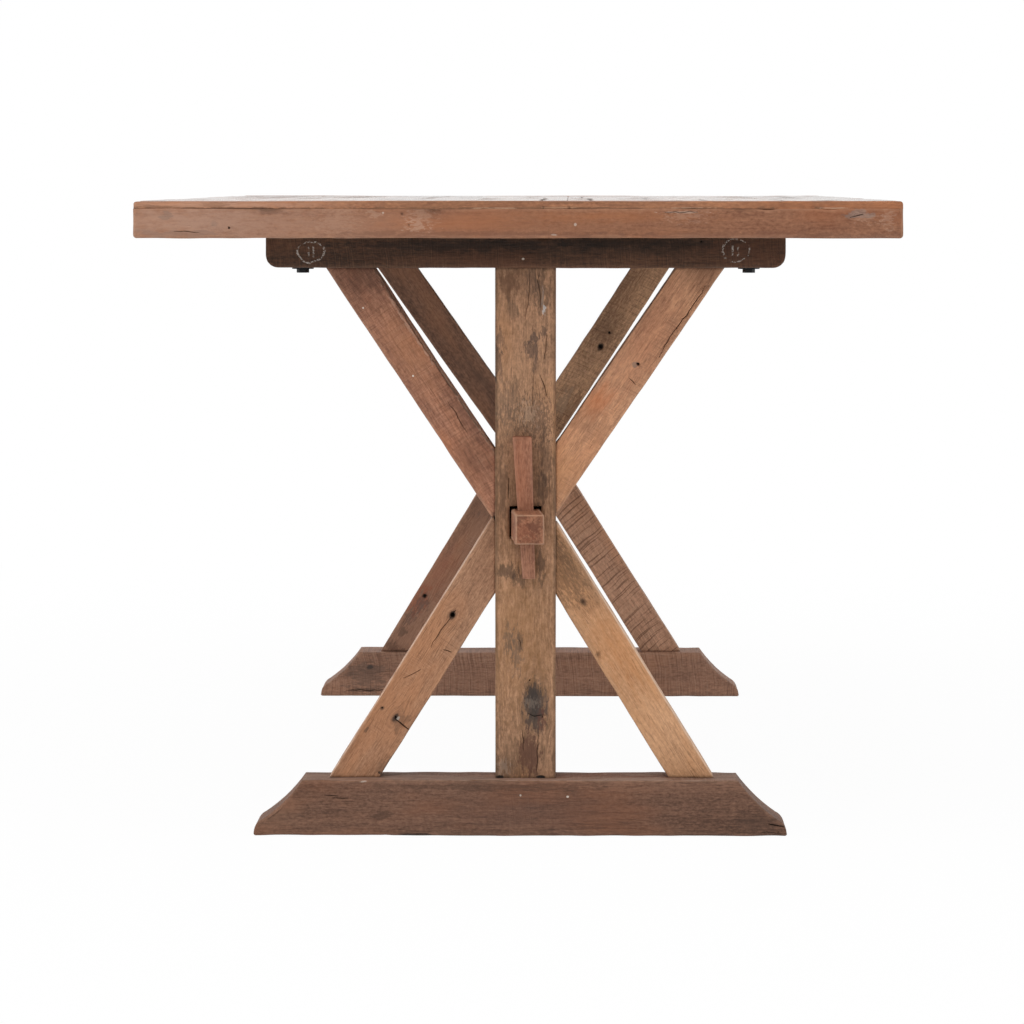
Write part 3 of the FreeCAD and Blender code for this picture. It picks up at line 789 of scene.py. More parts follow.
    def long_path(self, side: Side, along: Iterable[float], level: Iterable[float]) -> Array:
        """Points on a long face from places along it and across it.

        Args:
            side: The face.
            along: Places along the timber.
            level: Places across the face.

        Returns:
            The points, one row each.
        """
        axis = int(np.argmax(np.abs(side.value)))
        columns = [along, level, level]
        columns[axis] = np.full(len(along), sum(side.value) * self.extent(side))
        return np.stack(columns, axis=1)

    def random_cuts(self) -> CutPaths:
        """Seeded small cracks and worm holes on the long faces.

        Returns:
            The cuts with their points in the timber's own axes.
        """
        draw = draw_for(self.node + " checks")
        low, high = self.along[0], self.along[-1]
        found = []
        for side in (Side.FRONT, Side.BACK, Side.UPPER, Side.LOWER):
            other = 3 - int(np.argmax(np.abs(side.value)))
            half = self.limits[:, 2 * other - 1].min() * 0.8
            if half < NARROWEST:
                continue
            for _ in range(draw.poisson(CHECKS * (high - low))):
                size = draw.uniform(*CHECK_LENGTHS)
                start = draw.uniform(low * 0.85, high * 0.85 - size * 0.7)
                level = draw.uniform(-half, half)
                slope = draw.normal(0, 0.03)
                steps = np.linspace(0, 1, max(4, int(size / CHECK_STEP)))
                path = self.long_path(side, start + size * steps, level + slope * size * steps)
                width = draw.uniform(*CHECK_WIDTHS)
                found.append((Cut(CutKind.CRACK, (), width, RANDOM_DEPTH, side, 0.9), path))
            for _ in range(draw.poisson(WORM_HOLES * (high - low))):
                place = draw.uniform(low, high) * 0.92
                path = self.long_path(side, [place], [draw.uniform(-half, half)])
                width = draw.uniform(*WORM_WIDTHS)
                found.append((Cut(CutKind.HOLE, (), width, RANDOM_DEPTH, side, 0.95), path))
        return found

    def chosen_cuts(self) -> CutPaths:
        """The named cuts of this timber, the cracks with small wiggles.

        Returns:
            The cuts with their points in the timber's own axes.
        """
        found = []
        for number, cut in enumerate(self.cuts):
            path = np.array([self.on_face(at, cut.side) for at in cut.points])
            if len(path) > 1:
                reach = spans_of(path)[1]
                count = max(3, int(reach[-1] / CRACK_STEP))
                steps = np.linspace(0, reach[-1], count)
                path = np.stack([np.interp(steps, reach, column) for column in path.T], axis=1)
                draw = draw_for(f"{self.node} cut {number}")
                path[1:-1] += draw.normal(0, CRACK_WIGGLE, (count - 2, 3))
            found.append((cut, path))
        return found

    def refine(self, mesh: Mesh, cuts: CutPaths) -> None:
        """Splits the mesh finer and finer towards every cut.

        Args:
            mesh: The timber's mesh.
            cuts: The cuts with their points.
        """
        made = bmesh.new()
        made.from_mesh(mesh)
        for level in range(FINEST):
            made.to_mesh(mesh)
            centres = gather(mesh.polygons, "center")
            cell = self.step / 2 ** level
            near = np.zeros(len(centres), bool)
            for cut, path in cuts:
                if cell > cut.width * FINE_ENOUGH:
                    distance = distance_to(centres, path, np.array(cut.side.value, float))[0]
                    near |= distance < cut.width * 0.6 + cell * 1.2
            made.faces.ensure_lookup_table()
            edges = {edge for index in np.nonzero(near)[0] for edge in made.faces[index].edges}
            bmesh.ops.subdivide_edges(made, edges=list(edges), cuts=1, use_grid_fill=True)
        made.to_mesh(mesh)
        made.free()

    def carve(self, mesh: Mesh, cuts: CutPaths) -> None:
        """Presses every cut into the mesh and fills the hollow layer with how deep it went.

        Cracks get thinner towards their ends, chips are round and holes have steep walls.

        Args:
            mesh: The timber's mesh.
            cuts: The cuts with their points.
        """
        points = gather(mesh.vertices, "co")
        moves = np.zeros(points.shape)
        hollow = np.zeros(len(points))
        for cut, path in cuts:
            look = np.array(cut.side.value, float)
            distance, share = distance_to(points, path, look)
            half = cut.width / 2 * np.ones(len(points))
            if cut.kind is CutKind.CRACK:
                half *= 0.35 + 0.65 * np.sin(math.pi * share)
            inward = np.clip(1 - distance / half, 0, 1)
            if cut.kind is CutKind.CHIP:
                inward = 1 - (1 - inward) ** 2
            elif cut.kind is CutKind.HOLE:
                inward = np.minimum(1.0, inward * 2.2)
            moves -= np.outer(inward * cut.depth, look)
            # The hollow layer says how far the finish paints the cut dark: painted shade inside cracks,
            # holes and chips.
            hollow = np.maximum(hollow, np.minimum(1.0, cut.dark * inward * 1.6))
        mesh.vertices.foreach_set("co", (points + moves).astype(np.float32).ravel())
        set_layer(mesh, "hollow", hollow)

    def mark_seams(self, mesh: Mesh) -> None:
        """Fills the seam layer with how near each point is to an end that butts a piece.

        Args:
            mesh: The timber's mesh.
        """
        points = gather(mesh.vertices, "co")
        near = np.full(len(points), FAR_OFF)
        if self.butted:
            start, finish = (self.slanted(np.full(len(points), end), points[:, 1])
                             for end in (self.along[0], self.along[-1]))
            near = np.minimum(np.abs(points[:, 0] - start), np.abs(points[:, 0] - finish))
        set_layer(mesh, "seam", np.exp(-near / SEAM_REACH))

    def ripple(self, mesh: Mesh) -> None:
        """Gives every face the slight waviness of hand-worked wood.

        Args:
            mesh: The timber's mesh.
        """
        points = gather(mesh.vertices, "co")
        normals = gather(mesh.vertex_normals, "vector")
        swell = self.sway * Drift(self.node + " slow", SLOW_WAVE).at(points)
        swell += self.sway * 0.35 * Drift(self.node + " quick", QUICK_WAVE).at(points)
        swell = np.clip(swell, -2 * self.sway, 1.2 * self.sway)
        swell *= 1 - (1 - self.side_sway) * normals[:, 1] ** 2
        seam = np.empty(len(points), np.float32)
        mesh.attributes["seam"].data.foreach_get("value", seam)
        points += normals * (swell * (1 - seam))[:, None]
        if self.floor is not None:
            turn = np.array(self.axes.to_3x3())
            sunk = self.floor - (points @ turn[2] + self.axes.translation.z)
            points += np.maximum(sunk, 0)[:, None] * turn[2]
        mesh.vertices.foreach_set("co", points.astype(np.float32).ravel())

    def build(self, survey: Survey, slot: str) -> Object:
        """Makes the timber's object in place of its node.

        Args:
            survey: Measures of the frame, for the body that it rides on.
            slot: The record's material slot. It is not used.

        Returns:
            The new object.
        """
        cuts = [*self.random_cuts(), *self.chosen_cuts()]
        mesh = self.solid()
        self.mark_seams(mesh)
        self.ripple(mesh)
        self.refine(mesh, cuts)
        self.carve(mesh, cuts)
        mesh.shade_smooth()
        piece = bpy.data.objects.new(self.node + "_timber", mesh)
        bpy.context.scene.collection.objects.link(piece)
        piece.matrix_world = self.axes
        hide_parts(self.node)
        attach(piece, survey.body_of[self.node])
        LOG.info("%s: %d faces", piece.name, len(mesh.polygons))
        return piece


def gather(collection: bpy.types.bpy_prop_collection, name: str) -> Array:
    """Vectors that a mesh's parts hold, one row each.

    Args:
        collection: The parts.
        name: Name of the vector that each holds.

    Returns:
        The rows.
    """
    values = np.empty(len(collection) * 3, np.float32)
    collection.foreach_get(name, values)
    return values.reshape(-1, 3).astype(float)


def set_layer(mesh: Mesh, name: str, values: Array) -> None:
    """Adds a layer with one value for each point, which the finishes read."""
    layer = mesh.attributes.new(name, "FLOAT", "POINT")
    layer.data.foreach_set("value", values.astype(np.float32))


def spans_of(line: Array) -> tuple[Array, Array]:
    """Lengths of a line's stretches, and how far along it each of its points is."""
    spans = np.linalg.norm(np.diff(line, axis=0), axis=1)
    return spans, np.concatenate([[0], np.cumsum(spans)])


def distance_to(points: Array, path: Array,
                look: Array) -> tuple[Array, Array]:
    """Distance of points from a path, seen along a direction.

    Args:
        points: The points, one row each.
        path: The path's points.
        look: Unit direction that is left out of the distance.

    Returns:
        The distances, very large off the path's own face, and the share of the path's
        length at the nearest place.
    """
    best = np.full(len(points), FAR_OFF)
    share = np.full(len(points), 0.5)
    reach_out = PATH_REACH + FACE_REACH * look ** 2 - PATH_REACH * look ** 2
    inside = (points > path.min(axis=0) - reach_out) & (points < path.max(axis=0) + reach_out)
    close = np.nonzero(np.all(inside, axis=1))[0]
    flat = points[close] - np.outer(points[close] @ look, look)
    line = path - np.outer(path @ look, look)
    if len(line) == 1:
        best[close] = np.linalg.norm(flat - line[0], axis=1)
        return best, share
    spans, reach = spans_of(line)
    for index, span in enumerate(spans):
        way = (line[index + 1] - line[index]) / max(span, TINY)
        offset = flat - line[index]
        along = np.clip(offset @ way, 0, span)
        distance = np.linalg.norm(offset - np.outer(along, way), axis=1)
        nearer = distance < best[close]
        best[close[nearer]] = distance[nearer]
        share[close[nearer]] = (reach[index] + along[nearer]) / reach[-1]
    return best, share


# ---- shader helpers

def linear(tone: str) -> tuple[float, float, float, float]:
    """Colour for a shader from a tone written like #9d7159.

    Args:
        tone: The tone.

    Returns:
        The colour, with linear light and full opacity.
    """
    values = [int(tone[index:index + 2], 16) / 255 for index in (1, 3, 5)]
    light = [v / 12.92 if v <= 0.04045 else ((v + 0.055) / 1.055) ** 2.4 for v in values]
    return (*light, 1.0)


def sign(operation: str, swapped: bool = False) -> Callable:
    """Method that adds the Math node of one sign to the signal's graph.

    Args:
        operation: What the node does.
        swapped: Whether the signal comes second.

    Returns:
        The method.
    """
    def method(self: "Signal", other: "Signal | float") -> "Signal":
        """The two values put together."""
        return self.graph.math(operation, *((other, self) if swapped else (self, other)))
    return method


class Signal:
    """A value or vector in a shader. Values take +, -, * and / and abs()."""

    def __init__(self, graph: "Graph", socket: bpy.types.NodeSocket) -> None:
        """Keeps the socket that carries it and the graph that it is in."""
        self.graph = graph
        self.socket = socket

    __add__ = sign("ADD")
    __radd__ = sign("ADD", True)
    __sub__ = sign("SUBTRACT")
    __rsub__ = sign("SUBTRACT", True)
    __mul__ = sign("MULTIPLY")
    __rmul__ = sign("MULTIPLY", True)
    __truediv__ = sign("DIVIDE")
    __rtruediv__ = sign("DIVIDE", True)

    def __abs__(self) -> "Signal":
        """The value without its sign."""
        return self.graph.math("ABSOLUTE", self)


Value = Signal | Sequence[float] | float | str


class Graph:
    """Adds nodes to one shader tree and links them."""

    def __init__(self, tree: bpy.types.NodeTree) -> None:
        """Keeps the tree that nodes are added to."""
        self.tree = tree

    def node(self, kind: str, **settings: object) -> bpy.types.Node:
        """A new node with its settings.

        Args:
            kind: Kind of node, without the words that all of them start with.
            settings: Its properties.

        Returns:
            The node.
        """
        made = self.tree.nodes.new("ShaderNode" + kind)
        for name, value in settings.items():
            setattr(made, name, value)
        return made

    def feed(self, node: bpy.types.Node, inputs: dict) -> None:
        """Links a node's inputs to signals, or sets their own values.

        Args:
            node: The node.
            inputs: Signals, tones and plain values by the input's name or number.
        """
        for name, value in inputs.items():
            if isinstance(value, Signal):
                self.tree.links.new(value.socket, node.inputs[name])
            else:
                node.inputs[name].default_value = linear(value) if isinstance(value, str) else value

    def made(self, kind: str, inputs: dict, output: str | int = 0, **settings: object) -> Signal:
        """Adds a node and gives one of its outputs.

        Args:
            kind: Kind of node, without the words that all of them start with.
            inputs: Signals and plain values by the input's name or number.
            output: Name or number of the output.
            settings: Properties of the node.

        Returns:
            The output as a signal.
        """
        node = self.node(kind, **settings)
        self.feed(node, inputs)
        return Signal(self, node.outputs[output])

    def math(self, operation: str, *values: Value, clamp: bool = False) -> Signal:
        """Output of a Math node."""
        return self.made("Math", dict(enumerate(values)), operation=operation, use_clamp=clamp)

    def vector(self, operation: str, *values: Value) -> Signal:
        """Output of a Vector Math node."""
        output = "Value" if operation in ("LENGTH", "DOT_PRODUCT") else "Vector"
        return self.made("VectorMath", dict(enumerate(values)), output, operation=operation)

    def split(self, vector: Signal) -> list[Signal]:
        """The three coordinates of a vector."""
        parts = self.made("SeparateXYZ", {0: vector}).socket.node
        return [Signal(self, output) for output in parts.outputs]

    def join(self, *values: Value) -> Signal:
        """A vector of three coordinates."""
        return self.made("CombineXYZ", dict(enumerate(values)))

    def noise(self, place: Signal, stretch: Sequence[float], detail: float = 2,
              roughness: float = 0.55) -> Signal:
        """Noise at a place that is first stretched; its features are one unit across.

        Args:
            place: Where it is read.
            stretch: Factors for the place's coordinates.
            detail: How many finer layers it has.
            roughness: How strong those are.

        Returns:
            The noise.
        """
        return self.made("TexNoise", {
            "Vector": self.vector("MULTIPLY", place, stretch), "Scale": 1.0, "Detail": detail,
            "Roughness": roughness}, "Fac")

    def ease(self, value: Value, low: Value, high: Value) -> Signal:
        """Smooth step from 0 at low to 1 at high."""
        return self.made("MapRange", {"Value": value, "From Min": low, "From Max": high},
                         "Result", interpolation_type="SMOOTHSTEP")

    def mix(self, share: Value, first: Value, second: Value) -> Signal:
        """Colour between two colours."""
        return self.made("Mix", {0: share, 6: first, 7: second}, 2, data_type="RGBA")

    def shaders(self, share: Value, first: Signal, second: Signal) -> Signal:
        """Shader between two shaders."""
        return self.made("MixShader", {0: share, 1: first, 2: second})

    def attribute(self, name: str) -> Signal:
        """Value of a mesh layer."""
        return self.made("Attribute", {}, "Fac", attribute_name=name)

    def own_place(self) -> Signal:
        """Place in the object's own axes."""
        return self.made("TexCoord", {}, "Object")

    def place(self, effect: "Effect", **inputs: Value) -> dict[str, Signal]:
        """Puts an effect in this tree with its own values.

        Args:
            effect: The node group.
            inputs: Values or signals by input name, with _ for a space.

        Returns:
            The effect's outputs by name.
        """
        made = self.node("Group", node_tree=effect.tree)
        self.feed(made, {name.replace("_", " "): value for name, value in inputs.items()})
        return {output.name: Signal(self, output) for output in made.outputs}


class Effect(Graph):
    """A shader node group with named inputs and outputs."""

    def __init__(self, name: str, inputs: dict[Socket, str], outputs: dict[Socket, str]) -> None:
        """Makes the group's sockets.

        Args:
            name: Name of the group.
            inputs: Names of the inputs of each kind, with commas between them.
            outputs: The same for the outputs.
        """
        super().__init__(bpy.data.node_groups.new(name, "ShaderNodeTree"))
        for way, kinds in (("INPUT", inputs), ("OUTPUT", outputs)):
            for kind, names in kinds.items():
                for label in names.split(", "):
                    self.tree.interface.new_socket(label, in_out=way, socket_type=kind.value)
        self.source = self.tree.nodes.new("NodeGroupInput")
        self.result = self.tree.nodes.new("NodeGroupOutput")

    def __getitem__(self, name: str) -> Signal:
        """One of the group's inputs."""
        return Signal(self, self.source.outputs[name])

    def give(self, **values: Value) -> None:
        """Links the group's outputs by name."""
        self.feed(self.result, values)


class Skin(Graph):
    """A material in the making."""

    def __init__(self, name: str) -> None:
        """Makes the material with nothing in it.

        Args:
            name: Name of the material.
        """
        self.material = bpy.data.materials.new(name)
        self.material.use_nodes = True
        super().__init__(self.material.node_tree)
        self.tree.nodes.clear()

    def finish(self, mesh: Mesh, shader: Signal) -> None:
        """Ends the material in a shader and makes it the mesh's only one.

        Args:
            mesh: The mesh that it goes on.
            shader: The shader.
        """
        self.feed(self.node("OutputMaterial"), {"Surface": shader})
        mesh.materials.clear()
        mesh.materials.append(self.material)

    def surface(self, colour: Signal, roughness: Signal, height: Signal, relief: float,
                **rest: float) -> Signal:
        """The shader of a solid surface.

        Args:
            colour: Its colour.
            roughness: Its roughness.
            height: How far it stands out, for the relief.
            relief: Depth of the relief at a height of 1.
            rest: Other inputs of the shader, with _ for a space.

        Returns:
            The shader.
        """
        normal = self.made("Bump", {"Height": height, "Distance": relief}, "Normal")
        plain = {name.replace("_", " "): value for name, value in rest.items()}
        return self.made("BsdfPrincipled", {"Base Color": colour, "Roughness": roughness,
                                            "Normal": normal, **plain})


# ---- wood effects

@cache
def grain_effect() -> Effect:
    """Growth bands, streaks, fibres, fine checks and pores that run along X.

    Returns:
        The node group.
    """
    g = Effect("wood_grain", {
        Socket.VECTOR: "Place", Socket.COLOUR: "Light wood, Dark wood, Warm wood",
        Socket.VALUE: "Band spacing, Figure, Streaks, Fibre, Pores, Checks, Mottle, Contrast",
    }, {Socket.COLOUR: "Color", Socket.VALUE: "Height"})
    place = g["Place"]
    along, across, through = g.split(place)
    shift = (g.noise(place, (1.9, 5, 5)) - 0.5) * 0.09
    radius = g.vector("LENGTH", g.join(across + 0.031 + shift, through + 0.083 + shift * 0.6, 0.0))
    rings = g.join(radius / g["Band spacing"], along * 2.5, 0.0)
    bands = g.ease(g.noise(rings, (1, 1, 1), 3, 0.6), 0.34, 0.66)
    streak = g.noise(place, (3, 46, 46), 5, 0.66)
    fibre = g.noise(place, (14, 400, 400), 3, 0.7)
    mottle = g.noise(place, (6, 15, 15), 5, 0.68)
    grit = g.noise(place, (170, 320, 320), 2, 0.7)
    pore = g.ease(g.noise(place, (60, 1250, 1250), 1), 0.58, 0.70)
    thread = abs(g.noise(place, (7, 210, 210), 2, 0.6) - 0.5)
    where = g.ease(g.noise(place, (8, 30, 30)), 0.50, 0.62)
    check = (1 - g.ease(thread, 0.004, 0.022)) * where * g["Checks"]
    shade = (bands - 0.5) * g["Figure"] + 0.5
    for part, amount in ((streak, g["Streaks"] * 3.6), (mottle, g["Mottle"]),
                         (fibre, g["Fibre"] * 3.4), (grit, 2.3)):
        shade = (part - 0.5) * amount + shade
    shade = (shade - 0.5) * g["Contrast"] + 0.5
    colour = g.mix(shade, g["Light wood"], g["Dark wood"])
    warmth = g.ease(g.noise(place, (4, 13, 13), 3, 0.6), 0.47, 0.66)
    colour = g.mix(warmth * 0.5, colour, g["Warm wood"])
    deep = g.mix(0.65, g["Dark wood"], (0.012, 0.008, 0.006, 1.0))
    marks = g.math("MAXIMUM", pore * g["Pores"], check)
    g.give(Color=g.mix(marks, colour, deep),
           Height=streak * 0.5 + marks * -0.8 + bands * -0.25 + fibre * 0.6)
    return g


@cache
def saw_effect() -> Effect:
    """Kerfs that a saw left across the grain, in patches.

    Returns:
        The node group.
    """
    g = Effect("saw_marks", {Socket.VECTOR: "Place", Socket.VALUE: "Pitch, Tilt, Cover"},
               {Socket.VALUE: "Lines, Ridges, Height"})
    place = g["Place"]
    along, across, through = g.split(place)
    wander = g.noise(place, (14, 30, 30), 1) * 0.006
    slant = across * g["Tilt"] + (along + across * across * 1.6) + wander
    lines = g.noise(g.join(slant / g["Pitch"], across, through), (1, 13, 13), 1, 0.6)
    edge = g["Cover"] * -0.6 + 0.80
    patch = g.ease(g.noise(place, (9, 22, 22), 3, 0.62), edge, edge + 0.2)
    g.give(Lines=g.ease(lines, 0.52, 0.68) * patch, Ridges=g.ease(lines, 0.46, 0.32) * patch,
           Height=lines * patch)
    return g


@cache
def weather_effect() -> Effect:
    """Soft blotches that old age and handling left, drawn out along the grain.

    Returns:
        The node group.
    """
    g = Effect("weathering", {Socket.VECTOR: "Place", Socket.VALUE: "Fineness, Cover"},
               {Socket.VALUE: "Mask"})
    fine = g["Fineness"]
    spread = g.vector("MULTIPLY", g["Place"], g.join(fine, fine, fine))
    edge = g["Cover"] * -0.42 + 0.74
    g.give(Mask=g.ease(g.noise(spread, (1, 3.2, 3.2), 6, 0.66), edge, edge + 0.2))
    return g


@cache
def knot_effect() -> Effect:
    """A knot's heart and rings, and the place bent so that grain flows round it.

    Returns:
        The node group.
    """
    g = Effect("knot", {Socket.VECTOR: "Place, Centre", Socket.VALUE: "Radius, Stretch"},
               {Socket.VECTOR: "Place", Socket.VALUE: "Heart, Rings"})
    place = g["Place"]
    along, across, through = g.split(g.vector("SUBTRACT", place, g["Centre"]))
    near = g.vector("LENGTH", g.join(along / g["Stretch"], across, through * 0.5))
    rough = g.noise(place, (90, 150, 80), 3) - 0.5
    reach = rough * 0.9 + near / g["Radius"]
    waves = g.math("SINE", reach * 7.5) * 0.5 + 0.5
    bend = g.math("POWER", math.e, reach * reach * -0.16) * -0.75
    g.give(Place=g.vector("ADD", place, g.join(0.0, across * bend, 0.0)),
           Heart=1 - g.ease(reach, 0.55, 1.05), Rings=waves * (1 - g.ease(reach, 1.0, 3.2)))
    return g


@cache
def patch_effect() -> Effect:
    """One blot with a ragged outline.

    Returns:
        The node group.
    """
    g = Effect("blot", {Socket.VECTOR: "Place, Centre, Half size",
                        Socket.VALUE: "Ragged, Soft, Fineness"}, {Socket.VALUE: "Mask"})
    place, fine = g["Place"], g["Fineness"]
    offset = g.vector("SUBTRACT", place, g["Centre"])
    reach = g.vector("LENGTH", g.vector("DIVIDE", offset, g["Half size"]))
    spread = g.vector("MULTIPLY", place, g.join(fine, fine, fine))
    rough = g.noise(spread, (60, 170, 170), 5, 0.68) - 0.5
    reach = rough * (g["Ragged"] * 3.2) + reach
    g.give(Mask=1 - g.ease(reach, 1.15 - g["Soft"], 1.15))
    return g


@cache
def rub_effect() -> Effect:
    """Masks of the arrises that handling has worn, of painted shade at ends that butt another piece, and
    of the hollows of cuts.

    Returns:
        The node group.
    """
    g = Effect("rubbed_edges", {Socket.VECTOR: "Place", Socket.VALUE: "Amount, Dirt"},
               {Socket.VALUE: "Rubbed, Grime, Hollow"})
    place = g["Place"]
    wear = g.attribute("arris") * (g.noise(place, (26, 60, 60), 4, 0.62) + 0.25)
    # Painted shade: ends that butt another piece darken towards the joint, standing in for the shade
    # there.
    fine = g.noise(place, (90, 170, 170), 4, 0.66)
    seam = (fine - 0.5) * 0.9 + g.attribute("seam")
    g.give(Rubbed=g.ease(wear, 0.35, 0.95) * g["Amount"],
           Grime=g.ease(seam, 0.35, 1.05) * g["Dirt"], Hollow=g.attribute("hollow"))
    return g


@cache
def fleck_effect() -> Effect:
    """Sparse round specks.

    Returns:
        The node group.
    """
    g = Effect("flecks", {Socket.VECTOR: "Place", Socket.VALUE: "Spacing, Size"},
               {Socket.VALUE: "Mask"})
    cells = g.node("TexVoronoi")
    g.feed(cells, {"Vector": g["Place"], "Scale": 1 / g["Spacing"]})
    distance, lot = (Signal(g, cells.outputs[name]) for name in ("Distance", "Color"))
    share = g["Size"] / g["Spacing"]
    spot_size = share * g.ease(g.split(lot)[0], 0.35, 1.0)
    g.give(Mask=g.ease(spot_size - distance, 0.0, share * 0.25))
    return g


@cache
def chalk_effect() -> Effect:
    """A chalk ring with two tally strokes in it, broken by the wood's tooth.

    Returns:
        The node group.
    """
    g = Effect("chalk_ring", {Socket.VECTOR: "Place, Centre", Socket.VALUE: "Radius, Line"},
               {Socket.VALUE: "Mask"})
    place, size, line = g["Place"], g["Radius"], g["Line"]
    wobble = g.noise(place, (60, 60, 60), 1) - 0.5
    along, across, through = g.split(g.vector("SUBTRACT", place, g["Centre"]))
    radius = g.vector("LENGTH", g.join(along, across * 1.24, 0.0))
    circle = abs(wobble * (size * 0.55) + radius - size)
    pair = abs(abs(wobble * 0.003 + along) - 0.0032)
    stroke = g.math("MAXIMUM", pair, abs(across) - 0.0052)
    drawn = 1 - g.ease(g.math("MINIMUM", circle, stroke), line * 0.35, line)
    tooth = g.ease(g.noise(place, (520, 520, 520), 2, 0.7), 0.44, 0.56)
    worn = g.ease(g.noise(place, (130, 130, 90), 1), 0.36, 0.5)
    face = 1 - g.ease(abs(through), 0.003, 0.004)
    g.give(Mask=drawn * (tooth * worn) * face)
    return g


# ---- finishes

@dataclass(frozen=True)
class WoodFinish:
    """One board's colour, figure and wear."""

    light: str
    dark: str
    warm: str
    figure: float = 0.3
    band: float = 0.008
    streaks: float = 0.4
    fibre: float = 0.35
    pores: float = 0.4
    checks: float = 0.5
    mottle: float = 2.2
    contrast: float = 0.8
    saw: float = 0.3
    saw_depth: float = 0.35
    saw_pitch: float = 0.0015
    saw_tone: str = "#4a3227"
    stain: float = 0.3
    stain_tone: str = "#4b3a30"
    stain_fineness: float = 11.0
    rub: float = 0.25
    rub_tone: str = "#c4a084"
    flecks: float = 0.0
    roughness: float = 0.68
    shine: float = 0.3
    dull: float = 0.0
    SAW_TILT = 0.08
    # Strength of the painted shade at butted ends.
    GRIME = 0.6
    RELIEF = 0.0005
    FLECK_SPACING = 0.045
    FLECK_SIZE = 0.0016
    SKIN = 0.0016
    HEART_TONE = "#2b211c"
    CHALK_TONE = "#c9c2ba"
    # Tone of the painted shade at butted ends.
    DIRT_TONE = "#241a14"
    FLECK_TONE = "#d8cfc6"
    # Near-black painted shade inside cracks, holes and chips.
    HOLLOW_TONE = "#120d0a"

    def dress(self, piece: Object, timber: Timber | None = None,
              marks: Sequence[Patch | Knot | SideTint | ChalkRing] = ()) -> None:
        """Makes this finish for one piece of wood and puts it on.

        Args:
            piece: The timber's object, or a node of the frame.
            timber: Its sizes, for placing marks.
            marks: Knots, coloured places, sides with painted light or shade, and chalk rings on it.
        """
        g = Skin(piece.name + "_wood")
        own = g.own_place()
        offset = draw_for(piece.name + " grain").uniform(-9, 9, 3)
        place = bent = g.vector("ADD", own, tuple(offset))
        kinds = {kind: [mark for mark in marks if isinstance(mark, kind)]
                 for kind in (Knot, Patch, SideTint, ChalkRing)}
        knots = []
        for mark in kinds[Knot]:
            knot = g.place(knot_effect(), Place=own, Radius=mark.radius, Stretch=mark.stretch,
                           Centre=timber.on_face(mark.at, Side.FRONT))
            bent = g.vector("ADD", bent, g.vector("SUBTRACT", knot["Place"], own))
            knots.append(knot)
        grain = g.place(grain_effect(), Place=bent, Light_wood=self.light,
                        Dark_wood=self.dark, Warm_wood=self.warm,
                        Band_spacing=self.band, Figure=self.figure, Streaks=self.streaks,
                        Fibre=self.fibre, Pores=self.pores, Checks=self.checks,
                        Mottle=self.mottle, Contrast=self.contrast)
        colour, height = grain["Color"], grain["Height"]
        blotches = 0.0
        if self.stain:
            blotches = g.place(weather_effect(), Place=bent, Fineness=self.stain_fineness,
                               Cover=self.stain)["Mask"]
            colour = g.mix(blotches * 0.62, colour, self.stain_tone)
        if self.saw:
            sawn = g.vector("ADD", own, (offset[0], 0.0, offset[2]))
            saw = g.place(saw_effect(), Place=sawn, Pitch=self.saw_pitch, Tilt=self.SAW_TILT,
                          Cover=self.saw)
            colour = g.mix(saw["Lines"] * self.saw_depth, colour, self.saw_tone)
            colour = g.mix(saw["Ridges"] * (0.5 * self.saw_depth), colour, self.rub_tone)
            height = saw["Height"] * -0.9 + height
        for knot in knots:
            colour = g.mix(knot["Rings"] * 0.45, colour, self.dark)
        for knot in knots:
            colour = g.mix(knot["Heart"] * 0.85, colour, self.HEART_TONE)
            height = knot["Heart"] * -0.6 + height
        for mark in sorted(kinds[Patch], key=lambda patch: -patch.soft):
            half = list(mark.half)
            half.insert(2 - int(np.argmax(np.abs(mark.side.value[::-1]))), 0.006)
            blot = g.place(patch_effect(), Place=own, Half_size=half, Ragged=mark.ragged,
                           Centre=timber.on_face(mark.at, mark.side), Soft=mark.soft,
                           Fineness=mark.fine)["Mask"] * mark.strength
            colour = g.mix(blot, colour, mark.tone)
            if self.dull:
                blotches = g.math("MAXIMUM", blotches, blot)
        # Painted light and shade: whole long sides painted paler where lit or darker where shaded.
        for mark in kinds[SideTint]:
            edge = timber.extent(mark.side) - self.SKIN
            side_light = g.ease(g.vector("DOT_PRODUCT", own, mark.side.value), edge, edge + 0.0012)
            side_light = side_light * mark.strength * g.ease(height, 0.1, 0.5)
            colour = g.mix(side_light, colour, mark.tone)
        for mark in kinds[ChalkRing]:
            chalk = g.place(chalk_effect(), Place=own, Radius=mark.radius, Line=mark.line,
                            Centre=timber.on_face(mark.at, Side.FRONT))["Mask"]
            colour = g.mix(chalk * 0.75, colour, self.CHALK_TONE)
        edges = g.place(rub_effect(), Place=place, Amount=self.rub, Dirt=self.GRIME)
        # The arrises in their own tone: paler rubbed wood on most pieces; on the post a dark tone that is
        # partly painted shade.
        colour = g.mix(edges["Rubbed"], colour, self.rub_tone)
        # Painted shade where this piece butts another.
        colour = g.mix(edges["Grime"], colour, self.DIRT_TONE)
        if self.flecks:
            fleck = g.place(fleck_effect(), Place=place, Spacing=self.FLECK_SPACING,
                            Size=self.FLECK_SIZE)["Mask"]
            colour = g.mix(fleck * self.flecks, colour, self.FLECK_TONE)
        # Painted shade: the hollows of cuts are darkened.
        colour = g.mix(edges["Hollow"], colour, self.HOLLOW_TONE)
        gloss = (height - 0.3) * 0.12 + self.roughness
        gloss = g.math("MULTIPLY_ADD", blotches, self.dull, gloss)
        gloss = g.math("MULTIPLY_ADD", edges["Hollow"], 0.3, gloss, clamp=True)
        g.finish(piece.data, g.surface(colour, gloss, height, self.RELIEF,
                                       Specular_IOR_Level=self.shine))


